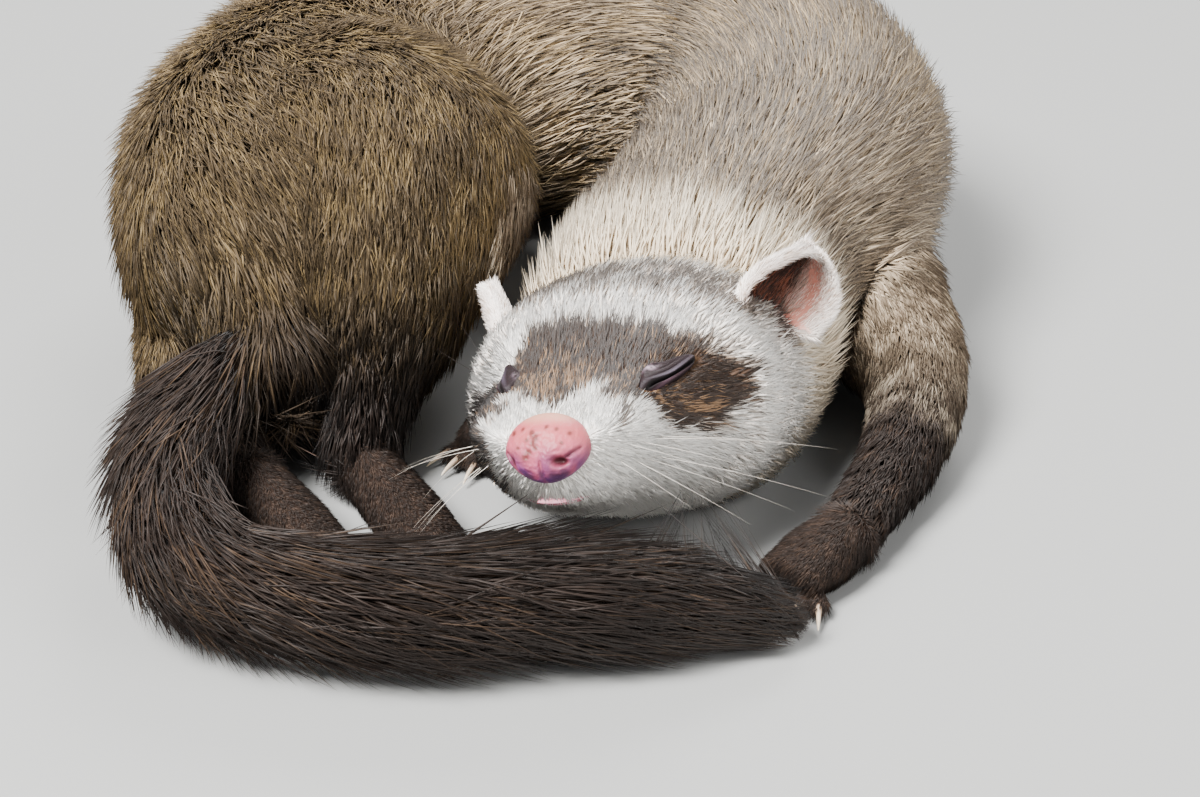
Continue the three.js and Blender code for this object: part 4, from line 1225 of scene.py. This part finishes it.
def lids(side, name):
    """Both lids of one eye: an oval patch of skin, closed underneath."""
    middle, along, up, half = eye_place(side)
    turn = np.linspace(0, 2 * math.pi, 96, endpoint=False)
    share = np.concatenate([np.linspace(0.02, 1, 44), np.linspace(1, 0.02, 12)])
    under = np.concatenate([np.zeros(44), np.ones(12)])
    a = LID_REACH[0] * share[:, None] * np.cos(turn)
    more = 1 + 0.45 * bell(np.cos(turn) + 0.4, 0.4) * (np.sin(turn) > 0)
    b = LID_MIDDLE + LID_REACH[1] * more * share[:, None] * np.sin(turn)
    flat = middle + along * (a * half)[..., None] + up * b[..., None]
    here, normal = on_skin(flat.reshape(-1, 3))
    here, normal = here.reshape(flat.shape), normal.reshape(flat.shape)
    height, off = lid_height(a, b)
    height = height * LID_FLATTER[side]
    height = np.where(under[:, None] > 0, LID_UNDER, height - LID_EDGE * smoothstep(share[:, None], 0.8, 1))
    dark_line = bell(off, 0.42) * (1 - smoothstep(np.abs(a), 0.95, 1.1))
    mottle = smoothstep(noise(flat.reshape(-1, 3), 0.5, 12), 0.3, 0.6).reshape(a.shape)
    patch = bell(a + 0.42, 0.2) * bell(b - 2.3, 0.5) * mottle
    # Painted highlights: a pale lilac band along the upper lid and a paler mauve one on the lower lid's ridge
    # stand in for the lids' sheen.
    upper_lid_painted_highlight = 0.7 * (bell(off - 0.75, 0.32) * bell(a, 0.7)).ravel()
    lower_lid_painted_highlight = 0.7 * (bell(off + 0.62, 0.2) * bell(a + 0.3, 0.6)).ravel()
    tone = mix(np.tile(linear("1c1214"), (a.size, 1)), linear("453c49"), upper_lid_painted_highlight)
    tone = mix(tone, linear("6f5260"), lower_lid_painted_highlight)
    tone = mix(tone, linear("0b0708"), dark_line.ravel())
    tone = mix(tone, linear("a8929e"), (0.75 if side > 0 else 0.3) * patch.ravel())
    piece = rings_piece(name, here + normal * height[..., None], LID_SKIN, tone)
    settle(piece, "lid_skin", f"eye_{name.split('_')[-1]}")
    return piece


# The nose pad: its middle, half sizes and how far it is tipped back, in degrees, and places on it
# across and up from its middle.
NOSE_MIDDLE, NOSE_HALF, NOSE_TILT = np.array([0.5, -23.4, -8.0]), np.array([6.3, 4.7, 5.1]), 14.0
# Each nostril: its middle, its half sizes, its depth and the outer end of its slit. The animal's
# right one is turned away and shows as a line.
NOSTRILS = [((2.8, -1.8), (1.15, 0.7), 1.5, (5.5, 0.0)), ((-4.5, -1.9), (0.4, 0.95), 0.9, (-5.4, -0.4))]
NOSE_SPECKS = [(-1.2, 2.5, 0.42), (-0.6, 1.8, 0.5), (-0.9, 1.0, 0.46), (-0.5, 0.3, 0.36), (-1.5, -0.2, 0.5),
               (-2.1, -1.0, 0.55), (-1.9, 1.5, 0.3), (0.9, 3.2, 0.26), (-2.8, 3.0, 0.28), (4.2, 2.2, 0.3),
               (2.4, 2.9, 0.24), (-4.4, 2.4, 0.32), (3.3, 0.9, 0.24), (-3.3, 0.4, 0.24)]
NOSE_SPOTS = [(-1.9, -3.6, 0.7), (1.9, -4.0, 1.0), (0.1, -3.5, 0.5), (3.2, -3.4, 0.55)]


def nose_pad():
    """A blunt superellipsoid seen from the front: wider above than below, with comma nostrils, a
    groove down its middle and rolled wings round the nostrils."""
    turn = np.linspace(0, 2 * math.pi, 144, endpoint=False)
    lean = np.linspace(0.02, math.pi - 0.02, 110)[:, None]
    swell = np.sin(lean) ** 0.86
    x = NOSE_HALF[0] * swell * np.cos(turn) * (1 - 0.2 * np.maximum(-np.sin(turn), 0) ** 2)
    z = NOSE_HALF[2] * swell * np.sin(turn)
    ahead = NOSE_HALF[1] * np.cos(lean) + 0 * turn
    front = smoothstep(np.cos(lean) + 0 * turn, -0.1, 0.35)
    hole, wing = np.zeros_like(x), np.zeros_like(x)
    for middle, half, deep, end in NOSTRILS:
        pit = np.exp(-(((x - middle[0]) / half[0]) ** 2 + ((z - middle[1]) / half[1]) ** 2) ** 1.3)
        slit, t = segment_distance(x, z, np.array(middle), np.array(end))
        hole = np.maximum(hole, np.maximum(deep * pit, 0.9 * bell(slit, 0.36 - 0.1 * t) * (1 - 0.35 * t)))
        rim = bell(np.hypot(x - middle[0], z - middle[1] - 0.5) - 1.8, 0.7)
        wing = np.maximum(wing, rim * (x * middle[0] > 0))
    groove = bell(x, 0.3) * (1 - smoothstep(z, -2.4, -0.6))
    ahead = ahead - front * (hole + 0.55 * groove - 0.18 * wing)
    grit = noise(np.stack([x, z, ahead], -1).reshape(-1, 3), 0.42, 9).reshape(x.shape)
    ahead = ahead + 0.2 * front * (grit - 0.5)
    tilt = math.radians(NOSE_TILT)
    y = -ahead * math.cos(tilt)
    up = z * math.cos(tilt) + ahead * math.sin(tilt) * 0.35
    points = on_head(NOSE_MIDDLE + np.stack([x, y + 0.25 * z, up], axis=-1).reshape(-1, 3))
    blotch = noise(points, 1.8, 8)
    low = smoothstep(-z, -2.6, 4.2).ravel()
    colour = mix(np.tile(linear("a34c50"), (x.size, 1)), linear("4c2558"), low)
    colour = mix(colour, linear("a84858"), 0.6 * smoothstep(blotch, 0.35, 0.8))
    # Painted shade: the nostrils are darkened by their depth, as the shade deep inside the holes.
    colour = mix(colour, linear("3a0a14"), np.clip(0.95 * hole, 0, 1).ravel() * front.ravel())
    colour = mix(colour, linear("94485e"), (groove * 0.4).ravel())
    colour = mix(colour, linear("b88a70"), 0.7 * smoothstep(z, 3.2, 4.9).ravel())
    for flecks, tone, most in ((NOSE_SPECKS, "4e160c", 0.85), (NOSE_SPOTS, "3c1a38", 0.75)):
        for sx, sz, size in flecks:
            fleck = np.clip(1.6 * bell(np.hypot(x - sx, z - sz) + 0.15 * (grit - 0.5), size), 0, 1)
            colour = mix(colour, linear(tone), (most * fleck).ravel() * front.ravel())
    piece = rings_piece("nose_pad", points.reshape(*x.shape, 3), NOSE_SKIN, colour)
    settle(piece, "nose_skin", "nose")


# The line of the mouth, seen from the side of the head: distance back and height.
MOUTH_LINE = Line([[-21.6, -15.6, 0], [-17, -15.9, 0], [-9, -16.2, 0], [0, -13.6, 0], [2.4, -14.6, 0]])


def mouth_place(share, side):
    """Points on the skin along the mouth's line, from its front, and the ways along and out."""
    line = MOUTH_LINE.at(np.asarray(share) * MOUTH_LINE.length)
    at = line[:, 0] + NOSE_AHEAD
    turn = np.radians(np.linspace(-90, 10, 240))
    ring = body_point(at[:, None] + 0 * turn, turn + 0 * at[:, None], -coat_depth(at)[:, None])
    height = head_place(ring)[..., 2]
    best = np.abs(height - line[:, 1:2]).argmin(axis=1)
    found = turn[best]
    found = np.where(side > 0, found, math.pi - found)
    return at, found


def lips():
    """The lips: a band along the mouth's line with a roll above and below the groove between."""
    share = np.linspace(0, 1, 70) ** 1.3
    at_left, turn_left = mouth_place(share, 1)
    at_right, turn_right = mouth_place(share, -1)
    at = np.concatenate([at_right[::-1], at_left[1:]])
    turn = np.concatenate([turn_right[::-1], turn_left[1:]])
    turn = np.where(turn < 0, turn + 2 * math.pi, turn)
    points = body_point(at, turn, -coat_depth(at))
    for _ in range(6):
        points[1:-1] = (points[:-2] + 2 * points[1:-1] + points[2:]) / 4
    along = unit(np.gradient(points, axis=0))
    _, normal = on_skin(points)
    down = unit(np.cross(along, normal))
    down *= np.sign(-dot(down, np.tile(HEAD[2], (len(down), 1))))[:, None]
    across = np.linspace(-0.95, 0.95, 34)
    from_middle = np.linspace(-1, 1, len(points))
    ends = 1 - np.abs(from_middle) ** 6
    rise = 0.9 * bell(from_middle, 0.14) - 0.1
    height = 0.3 * bell(across + 0.4, 0.26) + 0.24 * bell(across - 0.4, 0.26) - 0.6 * bell(across, 0.14) \
        - 0.7 * smoothstep(np.abs(across), 0.5, 0.95)
    top = points[:, None] + down[:, None] * across[:, None] * ends[:, None, None] \
        + normal[:, None] * (height * ends[:, None] - 0.5 * (1 - ends[:, None]) + rise[:, None])[..., None]
    under = points[:, None] + down[:, None] * across[::-1, None] * ends[:, None, None] \
        - normal[:, None] * 1.6
    rings = np.concatenate([top, under], axis=1)
    groove = np.concatenate([bell(across, 0.25), np.zeros(len(across))])
    front = bell(from_middle, 0.2)
    colour = np.tile(linear("6f5550"), (rings.shape[0] * rings.shape[1], 1))
    colour = mix(colour, linear("cf8b98"), (front[:, None] + 0 * groove).ravel())
    colour = mix(colour, linear("2e1a1c"), (groove + 0 * front[:, None]).ravel())
    settle(rings_piece("lips", rings, THIN_SKIN, colour), "nose_skin")


# Ears: the outline and cup of each, and how each is held: its root, lean and turn in degrees, its
# size and its taper to the tip. The right one is seen nearly edge-on and is smaller.
EAR = dict(wide=8.6, high=13.8, deep=6.2, thick=1.2, sunk=4.2)
EAR_HELD = {"left": ([23.8, 29, 5.4], 28.0, 50.0, 1.0, 0.0),
            "right": ([23.8, 27.5, 2.8], 7.0, 68.0, 0.86, 0.42)}
EAR_RIM_HAIR, EAR_DARK_HAIR, EAR_INNER_HAIR = 2.7, 5.4, 2.4
EAR_TUFTS, PAW_TUFTS = 9000, 6500


def rotation(axis, degrees):
    """A turn about the x, y or z axis, for row vectors."""
    c, s = math.cos(math.radians(degrees)), math.sin(math.radians(degrees))
    i, j = [(1, 2), (2, 0), (0, 1)][axis]
    turn = np.eye(3)
    turn[i, i] = turn[j, j] = c
    turn[i, j], turn[j, i] = s, -s
    return turn


def ear_world(side, points):
    """Points of an ear's own frame as world points."""
    root, lean, yaw, size, _ = EAR_HELD["left" if side > 0 else "right"]
    local = points * size @ rotation(2, side * yaw) @ rotation(1, side * lean)
    return on_head(local + np.array(root) * [side, 1, 1])


def ear_sheet(across, share, front, taper):
    """A round outline with a belly half way up, bulging to the back. The inner face has a fold
    along its front edge, a low ridge up its middle and a deep pocket at its root."""
    up = 0.985 * np.sin(share * math.pi / 2)
    outline = np.sqrt(1 - up * up) * (0.84 + 0.3 * np.sin(math.pi * up)) * (1 - taper * up**2)
    cup = EAR["deep"] * (1 - 0.85 * across**2) * (1 - 0.62 * up**2) * (1 - 0.8 * taper)
    rim = smoothstep(np.abs(across), 0.75, 1.0) + smoothstep(share, 0.8, 1.0)
    thick = EAR["thick"] * (1 - 0.35 * across**2) \
        + 0.5 * np.clip(rim, 0, 1) * bell(np.abs(across) - 0.92, 0.3)
    fold = 0.9 * bell(across - 0.45 + 0.2 * up, 0.13) * bell(up - 0.4, 0.35) \
        + 0.7 * bell(across + 0.35, 0.16) * bell(up - 0.3, 0.3)
    y = cup - front * (thick + fold)
    return np.stack([across * EAR["wide"] * outline, y, up * EAR["high"] - EAR["sunk"]], axis=-1)


def ear(side, name):
    """One ear as a closed sheet: its back, then its inner face."""
    across, share = np.linspace(-1, 1, 61), np.linspace(0, 1, 46)[:, None]
    taper = EAR_HELD[name][-1]
    back = ear_sheet(across, share + 0 * across, 0.0, taper)
    inner = ear_sheet(across, share + 0 * across, 1.0, taper)[:, ::-1]
    rings = np.concatenate([back, inner], axis=1) * [side, 1, 1]
    world = ear_world(side, rings.reshape(-1, 3)).reshape(rings.shape)
    up = np.broadcast_to(share, back.shape[:2])
    to_side = np.broadcast_to(across, up.shape)
    edge = np.maximum(smoothstep(np.abs(to_side), 0.7, 0.98), smoothstep(up, 0.72, 0.95))
    back_tone = mix(np.tile(linear("cdb6a6"), (up.size, 1)), linear("e6d5ca"), edge.ravel())
    inner_tone = mix(np.tile(linear("b87868"), (up.size, 1)), linear("e2bcae"), edge[:, ::-1].ravel())
    front_base = smoothstep(-to_side, -0.6, 0.1) * (1 - smoothstep(up, 0.5, 0.8))
    inner_tone = mix(inner_tone, linear("3b2620"), 0.85 * front_base[:, ::-1].ravel())
    shape = (*up.shape, 3)
    tone = np.concatenate([back_tone.reshape(shape), inner_tone.reshape(shape)], axis=1)
    piece = rings_piece(f"ear_skin_{name}", world, THIN_SKIN, tone)
    settle(piece, "ear_skin", f"ear_{name}")
    ear_fur(name, world)


def ear_fur(name, world):
    """The ear's hair: white and thick on the back and round the rim, fine and sparse inside, and
    long and red-brown to dark in the inner front corner. It lies to the rim and out over it."""
    points, quads, fans = closed_tube(world)
    faces = np.vstack([quads[:, [0, 1, 2]], quads[:, [0, 2, 3]], fans])
    if outward(points, faces) < 0:
        faces = faces[:, ::-1]
    rows, columns = world.shape[:2]
    half = columns // 2
    across = np.linspace(-1, 1, half)
    across = np.broadcast_to(np.concatenate([across, across[::-1]]), (rows, columns))
    share = np.broadcast_to(np.linspace(0, 1, rows)[:, None], (rows, columns))
    inner = np.broadcast_to(np.arange(columns) >= half, (rows, columns))
    sideways = unit(np.concatenate([np.gradient(world[:, :half], axis=1),
                                    -np.gradient(world[:, half:], axis=1)], axis=1))
    lie = unit(np.gradient(world, axis=0)) + sideways * (0.7 * across**3)[..., None]
    edge = np.maximum(smoothstep(np.abs(across), 0.62, 0.95), smoothstep(share, 0.62, 0.9))
    dark = inner * smoothstep(-across, -0.7, -0.15) * (1 - smoothstep(share, 0.55, 0.8)) * (1 - 0.7 * edge)
    bare = inner * (1 - edge) * (1 - dark)
    length = EAR_RIM_HAIR + (EAR_INNER_HAIR - EAR_RIM_HAIR) * bare + (EAR_DARK_HAIR - EAR_RIM_HAIR) * dark
    length = length * (1 + 0.6 * (1 - np.abs(across)) * smoothstep(share, 0.8, 1))
    length = length * (1 - EAR_HELD[name][-1])
    depth = 0.7 + 0.5 * edge - 0.35 * bare + 0.6 * dark
    zone = 0.8 + 1.1 * edge - 0.5 * bare + 0.9 * dark

    def field(values):
        flat = values.reshape(rows * columns, -1)
        return np.vstack([flat, flat[:1], flat[-1:]])

    light = mix(mix(np.tile(linear("fbf2ea"), (rows * columns, 1)), linear("d9a796"), 0.8 * bare.ravel()),
                linear("8c4f39"), dark.ravel())
    deep = mix(mix(np.tile(linear("cdb8a6"), (rows * columns, 1)), linear("a9705f"), bare.ravel()),
               linear("33231c"), dark.ravel())
    # The white hair's root colour is painted shade, a grey-beige that darkens each hair towards its root; in
    # the dark corner the root is the hair's own dark brown.
    root = mix(np.tile(linear("c9b3a3"), (rows * columns, 1)), linear("4a2c22"), dark.ravel())
    dark_share = 0.22 + 0.36 * dark
    unwrapped = np.stack([(across + 1) / 4 + 0.5 * inner, share], axis=-1)
    ear_hide = Hide(points, faces, field(lie), field(length)[:, 0], field(depth)[:, 0], field(unwrapped),
                    field(light), field(deep), field(root), field(dark_share)[:, 0])
    coat(f"ear_{name}_fur", ear_hide, field(zone)[:, 0], EAR_TUFTS, 0.24, 1.0, 60 + len(name), SPIKE,
         "ear_skin", root_tint=0.5, held=False)


def paw(name):
    """A paw's skin with its toes and its short dark hair."""
    points, quads = fused(paw_shells(name), 0.55)
    points = smoothed(points, edges_of(quads), np.full(len(points), 0.5), 2)
    points[:, 2] = np.maximum(points[:, 2], 0.3)
    heel, toes, _, _, _ = PAWS[name]
    ahead = unit((np.array(toes) - np.array(heel)) * [1, 1, 0])
    count = len(points)
    from_middle = points - (np.array(heel) + np.array(toes)) / 2
    lie = ahead + 0.35 * unit(from_middle) - [0, 0, 0.35]
    reach = dot(points - np.array(heel), np.tile(ahead, (count, 1)))
    length = np.interp(reach, [0, 10, 24], [4.2, 3.0, 2.0])
    depth = np.full(count, PAW_COAT)
    unwrap = (points[:, :2] - points[:, :2].min(0)) / np.ptp(points[:, :2], axis=0)
    # The third tone is the hair's root colour, painted darker than its light tips as shade deep in the coat.
    tones = [np.tile(c, (count, 1)) for c in (LEG_LIGHT, LEG_DARK, LEG_LIGHT * 0.8)]
    paw_hide = Hide(points, quads, lie, length, depth, unwrap, *tones, np.full(count, 0.7))
    skin = make_mesh(f"{name}_skin", points, quads=quads, material=UNDERFUR)
    paint(skin, "coat", tones[1] * 1.2)
    settle(skin, "dark_coat", name)
    coat(f"{name}_fur", paw_hide, np.ones(count), PAW_TUFTS, 0.26, 0.9, 40 + len(name), SPIKE,
         "dark_coat", root_tint=0.6, held=False)


def claws():
    """Every claw: a tapered horn of oval section that droops from its toe to the floor."""
    shells, tones = [], []
    upward = np.array([0, 0, 1])
    t = np.linspace(0, 1, 14)
    spin = np.linspace(0, 2 * math.pi, 10, endpoint=False)
    swell = (np.sqrt(1 - t) * 0.92 + 0.08 * (1 - t))[:, None]
    for name in PAWS:
        for place, way, across, size, reach in toes_of(name):
            root = place + way * (reach + TOES["long"] * size * CLAW["root"])
            root[2] = TOES["high"] * size * PALM_WIDE[2] + CLAW["lift"]
            centre = root + way * (CLAW["long"] * size * t)[:, None] \
                - upward * (CLAW["droop"] * t**2)[:, None]
            rings = centre[:, None] + across * (np.cos(spin) * swell * CLAW["wide"] / 2)[..., None] \
                + upward * (np.sin(spin) * swell * CLAW["high"] / 2)[..., None]
            rings[..., 2] = np.maximum(rings[..., 2], CLAW["rest"])
            points, quads, fans = closed_tube(rings)
            if outward(points, quads) < 0:
                quads, fans = quads[:, ::-1], fans[:, ::-1]
            shells.append((points, quads, fans))
            tone = np.tile(linear("8a6f5c"), (t.size * spin.size, 1))
            tone = mix(tone, linear("d8c6ae"), np.repeat(t, spin.size))
            tones.append(np.vstack([tone, tone[:1], tone[-1:]]))
    points, quads, fans = merged(shells)
    piece = make_mesh("claws", points, fans, quads, HORN)
    paint(piece, "coat", np.vstack(tones))
    settle(piece, "dark_coat")


# Whiskers grow in rows at these angles, in degrees up from the side. Each row starts at a distance
# from the nose tip and goes back by a step a hair, and each hair is longer than the one before.
# Brow hairs climb down from above the eye. Lengths vary by up to the last value.
WHISKERS = dict(angles=(-24, -12), count=4, start=6.5, step=2.3, offset=0.6, length=12, longer=4.5,
                radius=0.045, varies=4)
BROW_HAIRS = dict(count=5, start=24.5, step=1.3, angle=50, angle_step=-7, length=10, radius=0.06, varies=4)


def whiskers():
    """Whiskers and brow hairs: tapered five-sided hairs that leave the skin and bend back."""
    rng = np.random.default_rng(71)
    rows = []
    w, b = WHISKERS, BROW_HAIRS
    for side in (1, -1):
        for row, angle in enumerate(w["angles"]):
            for k in range(w["count"]):
                place = w["start"] + w["step"] * k + w["offset"] * row
                length = w["length"] + w["longer"] * k + w["varies"] * rng.random()
                rows.append((side, place, angle, length, w["radius"], "pale"))
        for k in range(b["count"]):
            place, angle = b["start"] + b["step"] * k, b["angle"] + b["angle_step"] * k
            length = b["length"] + b["varies"] * rng.random()
            rows.append((side, place, angle, length, b["radius"], "dark"))
    at = np.array([r[1] for r in rows])
    side = np.array([r[0] for r in rows])
    angle = np.radians([r[2] for r in rows])
    turn = np.where(side > 0, angle, math.pi - angle)
    root = body_point(at, turn, -coat_depth(at) - 0.3)
    _, normal = on_skin(root)
    _, _, _, back = body_frame(at)
    length, thick = np.array([r[3] for r in rows]), np.array([r[4] for r in rows])
    dark = np.array([r[5] == "dark" for r in rows])
    t = np.linspace(0, 1, 12)
    way = unit(normal * np.where(dark, 0.5, 0.9)[:, None] + back * 0.55 + rng.normal(0, 0.1, root.shape))
    bend = back * 0.5 - np.array([0, 0, 0.3]) * (~dark)[:, None]
    centre = root[:, None] + way[:, None] * (length[:, None] * t)[..., None] \
        + bend[:, None] * (length[:, None] * 0.45 * t**2)[..., None]
    centre[..., 2] = np.maximum(centre[..., 2], 0.4)
    shells, tones = [], []
    spin = np.linspace(0, 2 * math.pi, 5, endpoint=False)
    for i in range(len(rows)):
        along = unit(np.gradient(centre[i], axis=0))
        across = unit(np.cross(along, np.array([0.1, 0.2, 1.0])))
        out = np.cross(across, along)
        half = (thick[i] * (1 - 0.92 * t))[:, None, None]
        outline = across[:, None] * np.cos(spin)[:, None] + out[:, None] * np.sin(spin)[:, None]
        rings = centre[i][:, None] + outline * half
        points, quads, fans = closed_tube(rings)
        if outward(points, quads) < 0:
            quads, fans = quads[:, ::-1], fans[:, ::-1]
        shells.append((points, quads, fans))
        tone = linear("2a211d") if dark[i] else linear("cfc6ba")
        tones.append(np.tile(tone, (len(points), 1)))
    points, quads, fans = merged(shells)
    piece = make_mesh("whiskers", points, fans, quads, HAIR)
    paint(piece, "coat", np.vstack(tones))
    settle(piece, "pale_coat")


def bare_share(points):
    """How bare the skin is at points of the head: the lids, the lips and under the nose pad."""
    bare = np.zeros(len(points))
    for side in (1, -1):
        middle, along, up, half = eye_place(side)
        a, b = (points - middle) @ along / half, (points - middle) @ up
        bare = np.maximum(bare, 1 - smoothstep(np.hypot(a / 1.12, (b - 0.1) / 1.8), 0.75, 1.1))
        bare = np.maximum(bare, 0.9 * bell(a + 0.42, 0.24) * bell(b - 2.3, 0.6))
    h = head_place(points)
    off = np.hypot((h[:, 0] - NOSE_MIDDLE[0]) / 6.2, (h[:, 2] - NOSE_MIDDLE[2]) / 4.7)
    bare = np.maximum(bare, bell(h[:, 0] - 0.3, 3.0) * bell(h[:, 2] + 15.8, 0.9) * (h[:, 1] < -15))
    return np.maximum(bare, (h[:, 1] < -19.5) * (1 - smoothstep(off, 0.85, 1.05)))


lids(1, "lids_left")
lids(-1, "lids_right")
nose_pad()
lips()
for ear_side, ear_name in ((1, "left"), (-1, "right")):
    ear(ear_side, ear_name)
claws()
whiskers()
furred = 1 - bare_share(skin_points)
# Each population: its zone, number of tufts, their width, the size of its clumps and its seed.
# Short fur lies below, painted darker as shade, and longer locks painted lighter as lit hair break its
# surface.
coat("face_fur", hide, face_zone * furred, 50000, 0.32, 1.2, 11, SPIKE, "pale_coat", marks=marks_at,
     root_tint=0.3, pull_share=0.6, shade=(0.6, 1.0), slits_clear=True)
coat("face_locks", hide, face_zone * furred, 13500, 0.5, 1.5, 14, SPIKE, "pale_coat", marks=marks_at,
     root_tint=0.25, pull_share=0.7, tall=(0.9, 1.7), stretch=1.35, shade=(1.0, 1.15), slits_clear=True)
coat("head_fur", hide, head_zone * furred, 28000, 0.38, 1.6, 12, SPINDLE, "pale_coat", marks=marks_at,
     root_tint=0.3, pull_share=0.6, tall=(0.4, 1.0), shade=(0.6, 1.0))
coat("head_locks", hide, head_zone * furred, 14000, 0.46, 2.0, 15, SPINDLE, "pale_coat", marks=marks_at,
     root_tint=0.25, pull_share=0.7, tall=(0.9, 1.5), stretch=1.1, shade=(1.0, 1.15))
coat("body_fur", hide, body_zone, 120000, 0.35, 2.6, 13, SPINDLE, "body_coat", marks=marks_at)
for paw_name in PAWS:
    paw(paw_name)


# Floor, lights and camera.

# Each lamp: its place and size in metres and its power. The floor reaches this far, in millimetres.
LAMPS = [("key", (-0.6, -0.75, 1.2), 0.6, 125), ("fill", (0.9, -0.7, 0.7), 0.9, 19),
         ("rim", (0.3, 1.0, 0.9), 0.7, 22)]
FLOOR_SPAN, SURROUND = 3000.0, 0.55


def studio():
    """A pale floor, a large soft key light, a fill and a rim, and a pale surround."""
    corners = np.array([[-1, -1, 0], [1, -1, 0], [1, 1, 0], [-1, 1, 0]]) * FLOOR_SPAN - SHIFT
    corners[:, 2] = 0
    made, tree, output = new_material("pale_floor")
    shader = node(tree, "ShaderNodeBsdfPrincipled", Base_Color=(*linear("8b8b89"), 1), Roughness=0.8)
    tree.links.new(shader.outputs[0], output.inputs["Surface"])
    make_mesh("floor", corners, quads=np.array([[0, 1, 2, 3]]), material=made, smooth=False)
    for name, place, size, power in LAMPS:
        light = bpy.data.lights.new(name, "AREA")
        light.energy, light.size = power, size
        lamp = bpy.data.objects.new(name, light)
        bpy.context.scene.collection.objects.link(lamp)
        away = unit(np.array(place) - [0, 0, 0.03])
        lamp.location = place
        lamp.rotation_euler = (math.acos(away[2]), 0, math.atan2(away[0], -away[1]))
    world = bpy.data.worlds.new("studio")
    bpy.context.scene.world = world
    world.use_nodes = True
    background = world.node_tree.nodes["Background"]
    background.inputs["Color"].default_value = (*linear("e6e8ec"), 1)
    background.inputs["Strength"].default_value = SURROUND


# The photograph's view: a 95 mm lens, 26 degrees down, 480 mm from the point that it looks at.
LENS, SENSOR = 95.0, 36.0
LOOK_AT, LOOK_DOWN, LOOK_FROM = np.array([1.6, -50.0, 30.4]), 26.0, 480.0


def photo_camera():
    down = math.radians(LOOK_DOWN)
    place = LOOK_AT + SHIFT + np.array([0, -math.cos(down), math.sin(down)]) * LOOK_FROM
    lens = bpy.data.cameras.new("photo_view")
    lens.lens, lens.sensor_width, lens.clip_start, lens.clip_end = LENS, SENSOR, 0.01, 20
    camera = bpy.data.objects.new("photo_view", lens)
    bpy.context.scene.collection.objects.link(camera)
    camera.location = place * MM
    camera.rotation_euler = (math.pi / 2 - down, 0, 0)
    bpy.context.scene.camera = camera


studio()
photo_camera()
bpy.context.view_layer.update()
